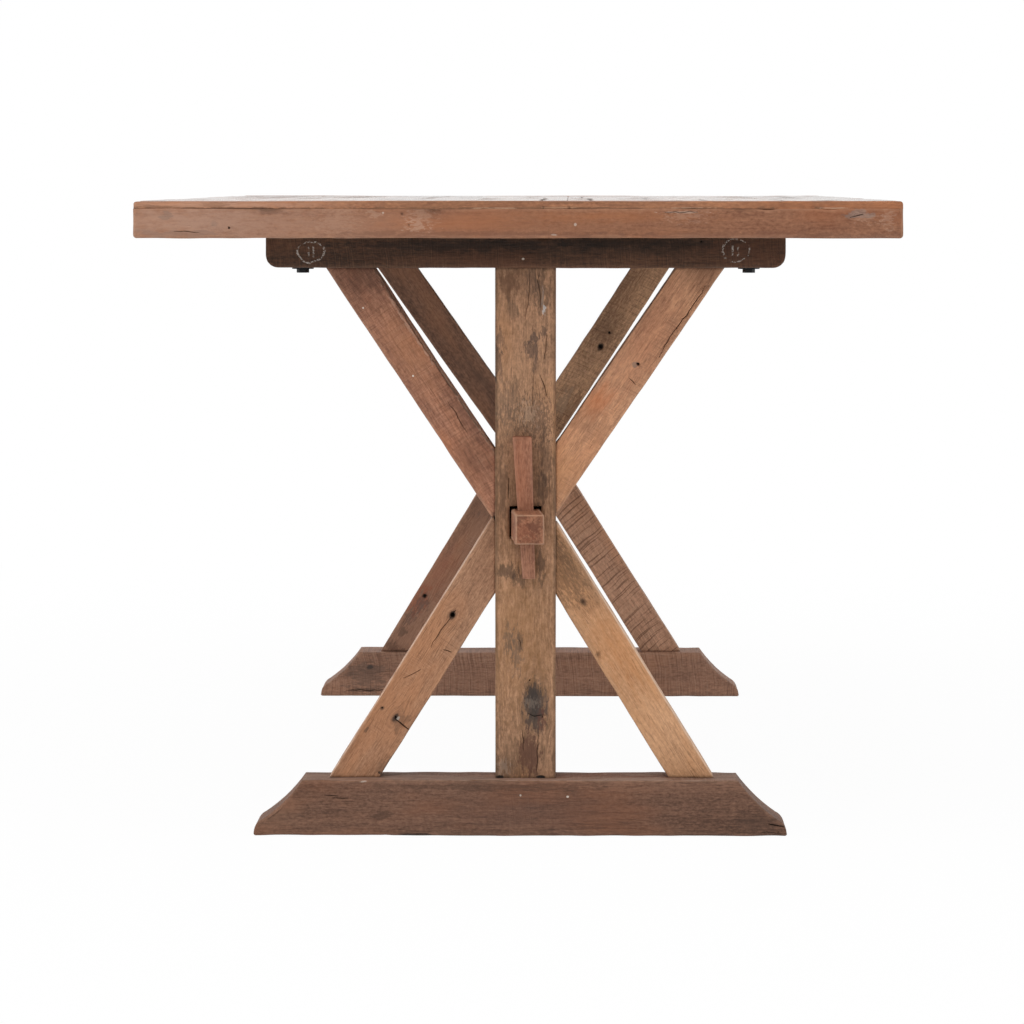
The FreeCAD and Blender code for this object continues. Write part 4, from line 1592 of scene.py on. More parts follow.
@dataclass(frozen=True)
class MetalFinish:
    """Finish of the fastenings: bare or blackened metal with handling marks."""

    name: str
    tone: str
    worn_tone: str
    metallic: float
    roughness: float

    def dress(self, piece: Object) -> None:
        """Makes this finish and puts it on a frame node.

        Args:
            piece: The node.
        """
        g = Skin(f"{piece.name}_{self.name}")
        own = g.own_place()
        worn = g.place(weather_effect(), Place=own, Fineness=160.0, Cover=0.45)["Mask"]
        colour = g.mix(worn, self.tone, self.worn_tone)
        pits = g.noise(own, (900, 900, 900), 3)
        g.finish(piece.data, g.surface(colour, worn * -0.15 + self.roughness, pits, 0.0001,
                                       Metallic=self.metallic))


BLACK_STEEL = MetalFinish("black_steel", "#17181a", "#3a3a3b", 0.6, 0.5)
BRASS = MetalFinish("brass", "#8c6f3c", "#6b5432", 1.0, 0.42)

RAIL_WOOD = WoodFinish(
    "#9e6f53", "#6f4531", "#9a5f3e", band=0.010, fibre=0.25, pores=0.2, checks=0.2, contrast=0.7, saw=0.5,
    saw_depth=0.2, stain=0.3, stain_tone="#7d6251", rub_tone="#b98d70", roughness=0.5, flecks=0.6)
STRIP_WOOD = WoodFinish(
    "#a36f50", "#6c412d", "#a15f38", band=0.010, streaks=0.5, fibre=0.3, pores=0.3, checks=0.4,
    contrast=1.0, saw_depth=0.2, stain=0.4, stain_tone="#6f5040", rub=0.3, rub_tone="#b9845f",
    roughness=0.45, flecks=0.5)
DECK_WOOD = WoodFinish(
    "#b59d8d", "#62493d", "#a3745b", figure=0.5, stain=0.5, saw_depth=0.25, stain_tone="#51433d",
    stain_fineness=7.0, roughness=0.15, shine=0.7, dull=0.4, checks=1.0)
CLEAT_WOOD = WoodFinish("#634431", "#3b291d", "#5f3b27", contrast=0.85, saw=1.0, saw_depth=0.32,
                        rub=0.12, rub_tone="#8b6a53", flecks=0.5, saw_tone="#1f1611")
# The post's edges are painted dark: partly grime, partly painted shade of the shadow lines along them.
POST_WOOD = WoodFinish(
    "#ca9b78", "#86654d", "#c48a58", streaks=0.6, fibre=0.35, pores=0.35, mottle=1.3, saw_depth=0.2,
    stain_tone="#6a5646", rub=0.6, rub_tone="#54402f", flecks=0.3)
RED_BRACE = WoodFinish("#c48d70", "#7d5140", "#bb7852", contrast=0.6, saw=0.95, stain=0.25,
                       saw_depth=0.26, flecks=0.5, rub=0.2)
TAN_BRACE = WoodFinish("#e2ab84", "#a17257", "#de9869", contrast=0.55, saw=0.55,
                       saw_tone="#5f4030", stain=0.15, stain_tone="#7b5644", rub=0.2)
OCHRE_BRACE = WoodFinish(
    "#bd9070", "#805c46", "#b57c55", contrast=0.6, saw=0.5, stain=0.2, stain_tone="#6b5342", rub=0.2)
LIGHT_BRACE = WoodFinish("#d8a881", "#a47957", "#d69966", contrast=0.55, saw=0.5,
                         saw_tone="#7a583f", stain=0.12, stain_tone="#7f5f45", rub=0.2)
BROWN_BRACE = WoodFinish("#b3886f", "#7e5c4a", "#ae7d5e", contrast=0.3, saw=0.5, rub=0.15)
SAWN_BRACE = WoodFinish("#d2a284", "#8f6952", "#c58e6a", contrast=0.6, saw=1.0, saw_depth=0.65,
                        saw_pitch=0.0025, saw_tone="#563a2c", stain=0.2, rub=0.2)
OLIVE_BRACE = WoodFinish(
    "#cfa37e", "#8b6a51", "#c39067", contrast=0.8, saw=0.8, stain=0.35, stain_tone="#5a4a3c", rub=0.15)
DARK_BRACE = WoodFinish("#9a735b", "#5c4337", "#93664a", contrast=0.7, mottle=1.1, fibre=0.15,
                        saw_depth=0.1, stain=0.5, stain_tone="#5e473b", rub=0.1)
FOOT_WOOD = WoodFinish("#85624f", "#523a2e", "#84573f", contrast=0.75, mottle=0.9, saw=0.5,
                       saw_depth=0.2, stain=0.25, rub=0.1, rub_tone="#a2826d", flecks=0.5)
FAR_FOOT_WOOD = WoodFinish("#b2876f", "#775746", "#a97a5e", contrast=0.5, saw=1.0,
                           saw_depth=0.42, stain=0.3, rub=0.2, rub_tone="#b39580")
KEY_WOOD = WoodFinish("#ab795f", "#784c3b", "#a5674a", figure=0.35, band=0.004, saw=0.0,
                      contrast=0.9, mottle=1.6, stain=0.15, rub_tone="#bd9079", checks=0.3)
BEAM_WOOD = WoodFinish(
    "#9f6d52", "#654030", "#985e43", contrast=1.0, stain=0.25, rub=0.5, saw_depth=0.2)
DOWEL_WOOD = WoodFinish("#9a7154", "#5e4231", "#8d6040", band=0.002, saw=0.0)
INNER_WOOD = WoodFinish(
    "#b58f74", "#7a5d49", "#a97c5a", saw=0.9, saw_depth=0.4, saw_pitch=0.002)


# ---- sub-assemblies

@dataclass
class TableTop:
    """The deck boards, and the frame of rails and battens that carries them."""

    survey: Survey
    marks: dict[str, list]
    cuts: dict[str, list[Cut]]
    plank_count: int = 7
    deck_arris: float = 0.0014
    deck_sway: float = 0.0003
    rail_arris: float = 0.0022
    rail_sway: float = 0.0004
    end_arris: float = 0.004
    tight_edge: float = 0.15
    deck_tones: tuple[tuple[str, str], ...] = (
        ("#b59d8d", "#62493d"), ("#a98a78", "#5a4236"), ("#bca391", "#6d5244"),
        ("#ab978a", "#5e4e46"),
    )

    def board(self, node: str, along: Vector, thick: Vector, slot: str, finish: WoodFinish,
              **sizes: object) -> None:
        """Makes and dresses one straight board.

        Args:
            node: Node that it replaces.
            along: Direction that it runs in.
            thick: Direction that its front face looks.
            slot: The record's material slot.
            finish: Its finish.
            sizes: Fields of the timber that aren't the usual ones.
        """
        timber = Timber.board(self.survey, node, along, thick, cuts=self.cuts.get(node, []),
                              **sizes)
        finish.dress(timber.build(self.survey, slot), timber, self.marks.get(node, ()))

    def planks(self) -> None:
        """The boards that run the length of the top, each of a slightly different tone."""
        for number in range(1, self.plank_count + 1):
            node = f"deck_plank_{number}"
            low, high = self.survey.box(node)
            cuts = [cut for cut in self.cuts["deck"] if low[0] < cut.points[0][0] < high[0]]
            marks = [mark for mark in self.marks["deck"] if low[0] < mark.at[0] < high[0]]
            self.cuts, self.marks = self.cuts | {node: cuts}, self.marks | {node: marks}
            light, dark = self.deck_tones[number % len(self.deck_tones)]
            self.board(node, ALONG_Y, UP, "deck_boards",
                       replace(DECK_WOOD, light=light, dark=dark),
                       arris=self.deck_arris, sway=self.deck_sway, side_sway=0.0)

    def across(self) -> None:
        """The board and the rail that close each end, tight against one another."""
        kinds = (("end_board", "deck_boards", STRIP_WOOD, self.deck_arris, self.deck_sway),
                 ("end_rail", "frame_rails", RAIL_WOOD, self.rail_arris, self.rail_sway))
        for row, (word, slot, finish, arris, sway) in enumerate(kinds):
            for end in End:
                rounding = [1.0, 1.0, 1.0, 1.0]
                rounding[row if end is End.NEAR else 1 - row] = self.tight_edge
                self.board(f"{end.word}_{word}", ALONG_X, end.value * ALONG_Y, slot, finish,
                           arris=arris, sway=sway, end_arris=self.end_arris,
                           rounding=tuple(rounding))

    def frame(self) -> None:
        """The side rails, and the three battens that cross under the deck between them."""
        for hand in ("left", "right"):
            self.board(f"{hand}_side_rail", ALONG_Y, UP, "frame_rails", RAIL_WOOD,
                       arris=self.rail_arris)
        for word in ("near", "middle", "far"):
            self.board(f"{word}_batten", ALONG_X, UP, "frame_rails", INNER_WOOD)

    def build(self) -> None:
        """Makes and dresses the whole top."""
        self.planks()
        self.across()
        self.frame()


@dataclass
class Trestle:
    """One end's foot, post, cleat and four braces, with what fastens them."""

    survey: Survey
    end: End
    marks: dict[str, list]
    cuts: dict[str, list[Cut]]
    brace_finishes: dict[str, WoodFinish]
    foot_finish: WoodFinish = FOOT_WOOD
    foot_arris: float = 0.0025
    post_arris: float = 0.0018
    brace_arris: float = 0.0018
    post_side_sway: float = 0.2
    mortise_room: float = 0.05

    def node(self, word: str) -> str:
        """Full node name of one of this trestle's pieces."""
        return f"{self.end.word}_{word}"

    def dress(self, word: str, timber: Timber, slot: str, finish: WoodFinish) -> None:
        """Makes one piece with its cuts and puts its finish and its marks on."""
        timber.cuts = self.cuts.get(word, [])
        finish.dress(timber.build(self.survey, slot), timber, self.marks.get(word, ()))

    def foot_and_cleat(self) -> None:
        """The foot with its two ogee ends, and the cleat under the top."""
        for word, finish, sizes in (("foot", self.foot_finish, {"floor": 0.0}),
                                    ("cleat", CLEAT_WOOD, {})):
            timber = Timber.profiled(self.survey, self.node(word), arris=self.foot_arris, **sizes)
            self.dress(word, timber, f"{word}_wood", finish)

    def post(self) -> None:
        """The upright, with the square mortise that the stretcher's tenon goes through."""
        node = self.node("post")
        low, high = self.survey.box(node)
        foot_top = self.survey.box(self.node("foot"))[1][2]
        cleat_low = self.survey.box(self.node("cleat"))[0][2]
        middle = Vector((low + high) / 2)
        axes = own_axes(UP, TOWARDS, middle)
        points = self.survey.points(node)
        outer = low[1] if self.end is End.NEAR else high[1]
        face = points[np.abs(points[:, 1] - outer) < MATCH]
        inside = (face[:, 0] > low[0] + MATCH) & (face[:, 0] < high[0] - MATCH)
        inside &= face[:, 2] > foot_top + self.mortise_room
        inside &= face[:, 2] < cleat_low - self.mortise_room
        mortise_low, mortise_high = face[inside].min(axis=0), face[inside].max(axis=0)
        across = sorted((middle.x - mortise_low[0], middle.x - mortise_high[0]))
        window = Window((mortise_low[2] - middle.z, mortise_high[2] - middle.z), tuple(across))
        half = (high - low) / 2
        limits = np.tile([-half[0], half[0], -half[1], half[1]], (2, 1))
        span = np.array([foot_top, cleat_low]) - middle.z
        timber = Timber(node, axes, span, limits, arris=self.post_arris, windows=[window],
                        butted=True, end_arris=BUTT_ARRIS, side_sway=self.post_side_sway)
        self.dress("post", timber, "post_wood", POST_WOOD)

    def braces(self) -> None:
        """The four braces of the cross."""
        for word, finish in self.brace_finishes.items():
            timber = Timber.brace(self.survey, self.node(word), arris=self.brace_arris)
            self.dress(word, timber, "brace_wood", finish)

    def fastenings(self) -> None:
        """Finishes of the bolts, washers, inserts and dowels, whose shapes are the frame's."""
        for word in ("top_bolts", "washers"):
            BLACK_STEEL.dress(self.survey.nodes[self.node(word)])
        BRASS.dress(self.survey.nodes[self.node("threaded_inserts")])
        DOWEL_WOOD.dress(self.survey.nodes[self.node("brace_dowels")])

    def build(self) -> None:
        """Makes and dresses the whole trestle."""
        self.foot_and_cleat()
        self.post()
        self.braces()
        self.fastenings()


@dataclass
class StretcherAndKeys:
    """The long stretcher with its two slotted tenons, and the tusk key in each.

    The two bands are how near to a tenon's root and tip the points are that give its sizes,
    and `chamfer` is the length that its chamfered end stays within.
    """

    survey: Survey
    beam_arris: float = 0.002
    key_arris: float = 0.0012
    key_knocks: float = 4.0
    key_sway: float = 0.0001
    key_step: float = 0.004
    key_play: float = 0.0004
    root_band: float = 0.002
    tip_band: float = 0.006
    chamfer: float = 0.02

    def key(self, end: End) -> None:
        """Makes and dresses one leaning wedge.

        Args:
            end: End of the table that it is at.
        """
        node = f"{end.word}_key"
        low, high = self.survey.box(node)
        middle = Vector((low + high) / 2)
        axes = own_axes(UP, TOWARDS, middle)
        ends = [self.survey.slice_box(node, 2, level) for level in (low[2], high[2])]
        limits = np.array([[middle.x - box[1][0], middle.x - box[0][0],
                            middle.y - box[1][1], middle.y - box[0][1]] for box in ends])
        along = np.array([low[2], high[2]]) - middle.z
        timber = Timber(node, axes, along, limits, arris=self.key_arris,
                        knocks=self.key_knocks, sway=self.key_sway, step=self.key_step)
        KEY_WOOD.dress(timber.build(self.survey, "key_wood"), timber)

    def key_window(self, end: End, axes: Matrix) -> Window:
        """The slot that a key passes through.

        Args:
            end: End of the table that it is at.
            axes: The stretcher's own axes.

        Returns:
            The slot in those axes.
        """
        node = f"{end.word}_key"
        low, high = self.survey.box(node)
        foot, top = (self.survey.slice_box(node, 2, level) for level in (low[2], high[2]))
        tenon = self.tenon_box(end)
        shares = (tenon[:, 2] - low[2]) / (high[2] - low[2])
        boxes = [foot * (1 - share) + top * share for share in shares]
        corners = np.array([box[row] for box in boxes for row in (0, 1)])
        home = axes.inverted()
        own = np.array([home @ Vector((x, y, axes.translation.z)) for x, y, _ in corners])
        play = 2 * self.key_play
        return Window((own[:, 0].min() - play, own[:, 0].max() + play),
                      (own[:, 1].min() - play, own[:, 1].max() + play))

    def tenon_box(self, end: End) -> Array:
        """Box round the end of one tenon.

        Args:
            end: End of the table that it is at.

        Returns:
            The box's lowest and highest corner, as two rows.
        """
        points = self.survey.points("stretcher")
        tip = points[:, 1].min() if end is End.NEAR else points[:, 1].max()
        near = points[np.abs(points[:, 1] - tip) < self.chamfer]
        return np.array([near.min(axis=0), near.max(axis=0)])

    def stretcher(self) -> None:
        """The stretcher: a deep beam between the posts, with a thin tenon through each."""
        posts = {end: self.survey.box(f"{end.word}_post") for end in End}
        tenons = {end: self.tenon_box(end) for end in End}
        middles = {end: Vector(box.mean(axis=0)) for end, box in posts.items()}
        for middle in middles.values():
            middle.z = tenons[End.NEAR][:, 2].mean()
        way = (middles[End.FAR] - middles[End.NEAR]).normalized()
        centre = (middles[End.FAR] + middles[End.NEAR]) / 2
        axes = own_axes(way, UP, centre)
        home = axes.inverted()
        own = np.array([home @ Vector(point) for point in self.survey.points("stretcher")])
        tip, _, high = np.abs(own).max(axis=0)
        low_z, high_z = tenons[End.NEAR][:, 2] - centre.z
        rows = []
        for end in End:
            shoulder, outer = sorted(np.abs(posts[end][:, 1]))
            at_root = np.abs(own[:, 0] - end.value * shoulder) < self.root_band
            root = np.abs(own[at_root][:, 1])
            thin, deep = root.min(), root.max()
            last = own[np.abs(own[:, 0] - end.value * tip) < self.tip_band][:, 1]
            skew = (last.min() + last.max()) / 2
            side = [(end.value * tip, skew - thin, skew + thin, low_z, high_z),
                    (end.value * outer, -thin, thin, low_z, high_z),
                    (end.value * shoulder, -thin, thin, low_z, high_z),
                    (end.value * shoulder, -deep, deep, -high, high)]
            rows += side if end is End.NEAR else side[::-1]
        table = np.array(rows)
        windows = [self.key_window(end, axes) for end in End]
        timber = Timber("stretcher", axes, table[:, 0], table[:, 1:], arris=self.beam_arris,
                        windows=windows)
        blots = ((0, 0, 14, "#7d4632"), (10, 4, 8, "#4d3026"), (-6, 13, 6, "#55382c"))
        ends = [Patch((middles[end].x + shift * MM, middles[end].z + lift * MM), spot(size, size),
                      tone, 0.45, 1.4, side)
                for end, side in ((End.NEAR, Side.FOOT_END), (End.FAR, Side.HEAD_END))
                for shift, lift, size, tone in blots]
        BEAM_WOOD.dress(timber.build(self.survey, "stretcher_wood"), timber, ends)

    def build(self) -> None:
        """Makes and dresses the stretcher and both keys."""
        self.stretcher()
        for end in End:
            self.key(end)


# ---- studio

@dataclass(frozen=True)
class Lamp:
    """One soft rectangular light."""

    name: str
    place: tuple[float, float, float]
    aim: tuple[float, float, float]
    width: float
    watts: float


@dataclass
class Studio:
    """A pale floor, a white surround, soft lamps and the camera.

    The shadow on the floor fades out from `clear_from` to `clear_to` off the middle.
    """

    eye: tuple[float, float, float] = (0.0607, -6.2511, 0.7863)
    pitch: float = 0.0723
    yaw: float = 0.0126
    lens: float = 161.07
    floor_half: float = 30.0
    clear_from: float = 0.9
    clear_to: float = 3.2
    sky: float = 0.47
    lamps: tuple[Lamp, ...] = (
        Lamp("high_front", (-0.8, -2.6, 4.2), (0.0, 0.0, 0.3), 2.6, 84.0),
        Lamp("low_front", (0.4, -5.5, 1.3), (0.0, 0.0, 0.3), 3.0, 30.0),
        Lamp("left", (-3.8, -1.4, 2.6), (0.0, 0.0, 0.4), 2.4, 42.0),
        Lamp("right", (3.8, -1.4, 2.6), (0.0, 0.0, 0.4), 2.4, 36.0),
        Lamp("back", (0.0, 4.0, 3.2), (0.0, 0.0, 0.5), 3.0, 45.0),
    )

    def camera(self) -> None:
        """The camera, level with the upper part of the legs and far off."""
        data = bpy.data.cameras.new("camera")
        data.lens = self.lens
        data.sensor_width = 36.0
        data.clip_end = 100.0
        seen = bpy.data.objects.new("camera", data)
        seen.location = self.eye
        seen.rotation_euler = (math.pi / 2 - self.pitch, 0, self.yaw)
        bpy.context.scene.collection.objects.link(seen)
        bpy.context.scene.camera = seen

    def lights(self) -> None:
        """The lamps."""
        for lamp in self.lamps:
            data = bpy.data.lights.new(lamp.name, "AREA")
            data.shape = "SQUARE"
            data.size = lamp.width
            data.energy = lamp.watts
            light = bpy.data.objects.new(lamp.name, data)
            light.location = lamp.place
            aim = Vector(lamp.aim) - Vector(lamp.place)
            light.rotation_euler = aim.to_track_quat("-Z", "Y").to_euler()
            light.visible_camera = False
            light.visible_glossy = False
            bpy.context.scene.collection.objects.link(light)

    @staticmethod
    def seen_directly(g: Graph) -> Signal:
        """1 for rays from the camera, or off gloss or glass, and 0 for light.

        Args:
            g: The graph that asks.

        Returns:
            The value.
        """
        camera, gloss, glass = (g.made("LightPath", {}, f"Is {kind} Ray")
                                for kind in ("Camera", "Glossy", "Transmission"))
        return g.math("MAXIMUM", camera, g.math("MAXIMUM", gloss, glass))

    def surround(self) -> None:
        """World that shows white and lights softly."""
        world = bpy.data.worlds.new("surround")
        world.use_nodes = True
        world.node_tree.nodes.clear()
        g = Graph(world.node_tree)
        soft, white = (g.made("Background", {"Color": (1, 1, 1, 1), "Strength": strength})
                       for strength in (self.sky, 1))
        shown = g.shaders(self.seen_directly(g), soft, white)
        g.feed(g.node("OutputWorld"), {"Surface": shown})
        bpy.context.scene.world = world

    def floor(self) -> None:
        """Pale floor that shows almost white, keeps the table's shadow and is clear from below."""
        made = bmesh.new()
        bmesh.ops.create_grid(made, x_segments=8, y_segments=8, size=self.floor_half)
        mesh = bpy.data.meshes.new("studio_floor")
        made.to_mesh(mesh)
        made.free()
        floor = bpy.data.objects.new("studio_floor", mesh)
        bpy.context.scene.collection.objects.link(floor)
        g = Skin("pale_floor")
        away = g.ease(g.vector("LENGTH", g.own_place()), self.clear_from, self.clear_to)
        pale = g.made("BsdfDiffuse", {"Color": (0.86, 0.86, 0.86, 1)})
        shown = g.shaders((away * 0.04 + 0.96) * self.seen_directly(g), pale,
                          g.made("Emission", {}))
        below = g.made("NewGeometry", {}, "Backfacing")
        g.finish(mesh, g.shaders(below, shown, g.made("BsdfTransparent", {})))

    def build(self) -> None:
        """Sets up the whole studio."""
        bpy.context.scene.view_settings.view_transform = "Standard"
        self.camera()
        self.lights()
        self.surround()
        self.floor()


# ---- the table's marks, in millimetres

def spot(x: float, z: float) -> Pair:
    """A place or size on a face, from millimetres."""
    return x * MM, z * MM


def crack(*points: Pair, width: float = 1.4, depth: float = 2.5,
          dark: float = 0.8) -> Cut:
    """A drying crack through the given points."""
    line = tuple(spot(*point) for point in points)
    return Cut(CutKind.CRACK, line, width * MM, depth * MM, dark=dark)


def hole(x: float, z: float, width: float = 4, depth: float = 5) -> Cut:
    """A nail or worm hole in a front face."""
    return Cut(CutKind.HOLE, (spot(x, z),), width * MM, depth * MM)


def chip(x: float, z: float, width: float = 6, depth: float = 1.5) -> Cut:
    """A shallow chip in a front face, not much darker than the rest."""
    return Cut(CutKind.CHIP, (spot(x, z),), width * MM, depth * MM, dark=0.35)


def dirt(x: float, z: float, long: float, wide: float, strength: float = 0.7,
         ragged: float = 0.9, tone: str = "#46382f", fine: float = 1.0) -> Patch:
    """A ragged patch on a front face, with half its length and width: ground-in dirt, and in some places
    painted shade.
    """
    return Patch(spot(x, z), spot(long, wide), tone, strength, ragged, fine=fine)


def paint(x: float, z: float, long: float, wide: float, strength: float = 0.7,
          ragged: float = 0.8, tone: str = "#cbbfb2", fine: float = 1.0) -> Patch:
    """A trace of pale old paint or filler on a front face."""
    return dirt(x, z, long, wide, strength, ragged, tone, fine)


def tint(x: float, z: float, long: float, wide: float, tone: str,
         strength: float = 0.4) -> Patch:
    """A broad change of tone on a front face, with no edge to it."""
    return Patch(spot(x, z), spot(long, wide), tone, strength, 0.5, soft=1.3)


def knot(x: float, z: float, radius: float, stretch: float = 1.4) -> Knot:
    """A knot in a front face."""
    return Knot(spot(x, z), radius * MM, stretch)


def ring(x: float, z: float, radius: float) -> ChalkRing:
    """A chalk ring on a front face."""
    return ChalkRing(spot(x, z), radius * MM)


# The top, mostly its near edge.
TOP_MARKS = {
    "near_end_rail": [
        # Painted light: the left part of the rail is painted paler, where the top's edge is lit more.
        knot(-353, 735.5, 4, 1.2), tint(-380, 737, 200, 40, "#ad8a76", 0.75),
        tint(-200, 733, 200, 30, "#a67f69", 0.6), tint(0, 733, 300, 30, "#7f5239", 0.5),
        dirt(-400, 724, 50, 4, 0.4, 1.6, "#7d6355"), dirt(-409, 745, 6, 8, 0.45, 1.4, "#7a6559"),
        paint(-156.5, 748.3, 1.6, 1.6, 0.5), paint(-114, 742, 14, 12, 0.15, 2.8, "#c9ab95", 2.6),
        paint(-118, 734, 10, 6, 0.18, 2.8, "#c9ab95", 2.6),
        paint(-210, 738, 20, 14, 0.12, 2.8, "#c9a58c", 2.6),
        paint(-165, 746.5, 8, 4, 0.18, 2.2, "#c9ab95", 2.0), paint(42.3, 722.8, 4, 1.2, 0.6, 1.0),
        paint(67, 735, 1.6, 2, 0.5), paint(192, 749, 22, 1.2, 0.45, 1.4, "#b9a595"),
        paint(195, 745, 18, 6, 0.18, 2.8, "#c4a48e", 2.8), dirt(397, 747, 14, 5, 0.5, 1.6, "#7b716b"),
        paint(407, 743, 12, 5, 0.18, 2.8, "#c4a48e", 2.8),
        paint(430, 741, 6, 10, 0.2, 2.8, "#c4a48e", 2.8), dirt(-50, 723.5, 160, 4, 0.4, 1.8, "#6c4838"),
        dirt(260, 722.5, 140, 4, 0.35, 1.8, "#6c4838"), tint(-90, 735, 120, 14, "#ab6840"),
        tint(100, 744, 160, 10, "#a76840"),
    ],
    "near_end_board": [
        dirt(-353, 757.5, 14, 3, 0.5, 0.8, "#5f412f"), dirt(300, 757, 50, 3, 0.35, 1.0, "#6b4632"),
        # Painted light: the left part of the board is painted paler, where it is lit more.
        tint(-360, 757, 220, 10, "#a98674", 0.7), dirt(50, 753.5, 300, 1.8, 0.75, 1.4, "#4f3425"),
        dirt(-330, 753.5, 120, 1.4, 0.7, 1.4, "#4f3425"), dirt(-420, 755, 20, 3, 0.5, 1.2, "#4d3427"),
        paint(50, 754.5, 20, 0.8, 0.5, 1.0, "#b58f70"),
        paint(-30, 754, 30, 0.8, 0.5, 1.6, "#c7a386", 1.6),
        paint(200, 754.2, 26, 0.8, 0.55, 1.6, "#c7a386", 1.6),
        paint(370, 754, 16, 0.8, 0.6, 1.0, "#c9ab92"), dirt(0, 761.3, 400, 0.9, 0.5, 1.8, "#5f412f"),
        dirt(-100, 757, 100, 2.5, 0.4, 2.0, "#6b4632", 1.6),
        dirt(160, 757, 80, 2.5, 0.4, 2.0, "#6b4632", 1.6), dirt(60, 760.5, 20, 1.5, 0.6, 1.0, "#5a3a2a"),
    ],
    "deck": [
        dirt(-387, 780, 120, 30, 0.7, 1.6, "#4a3930"), dirt(-325, 800, 100, 30, 0.7, 1.6, "#4a3930"),
        dirt(-345, 250, 340, 22, 0.45, 2.4, "#3d3029", 2.0),
        dirt(-285, -20, 260, 14, 0.45, 2.4, "#3d3029", 2.0),
        dirt(-235, 420, 300, 18, 0.6, 2.4, "#3d3029", 2.0),
        dirt(-400, 450, 240, 12, 0.4, 2.4, "#3d3029", 2.0),
        dirt(-130, 100, 280, 10, 0.5, 2.4, "#3d3029", 2.0),
        dirt(365, 150, 200, 10, 0.7, 2.4, "#3d3029", 2.0), dirt(-250, 300, 300, 30, 0.5, 2.0, "#5a463b"),
        dirt(-50, -300, 250, 20, 0.5, 2.0, "#5a463b"), dirt(150, -300, 100, 20, 0.5, 2.0, "#5a463b"),
        dirt(27, -500, 300, 4, 0.9, 0.8, "#2a211c"), dirt(86, -400, 340, 4, 0.8, 0.8, "#2a211c"),
        dirt(158, -300, 160, 4, 0.8, 0.8, "#2a211c"), dirt(224, -600, 200, 4, 0.8, 0.8, "#2a211c"),
        dirt(316, -600, 180, 4, 0.8, 0.8, "#2a211c"), dirt(300, 200, 350, 30, 0.45, 2.0, "#5a463b"),
    ],
}
TOP_CUTS = {
    "near_end_rail": [
        chip(-134.4, 747.1, 4), chip(-126.3, 734.4, 3), hole(-335.8, 730.9, 2.6),
        crack((386, 743), (402, 747), width=1), crack((-400, 726.5), (-370, 726), width=0.9),
        crack((170, 749.2), (212, 749.7), width=0.8),
    ],
    "near_end_board": [
        chip(30, 753.5, 4), chip(60, 753.5, 5),
    ],
    "deck": [
        crack((27, -820), (31, -290), (24, 150), width=4),
        crack((82, -360), (76, 47), (80, 390), width=3),
        crack((88, -880), (85, -591), (89, -480), width=4),
        crack((-120, 300), (-116, 420), (-119, 520), width=2),
        crack((-290, -500), (-286, -380), (-291, -250), width=2), hole(158, -288, 6), hole(224, -589, 6),
        hole(316, -588, 6), hole(-325, 842, 5),
    ],
}

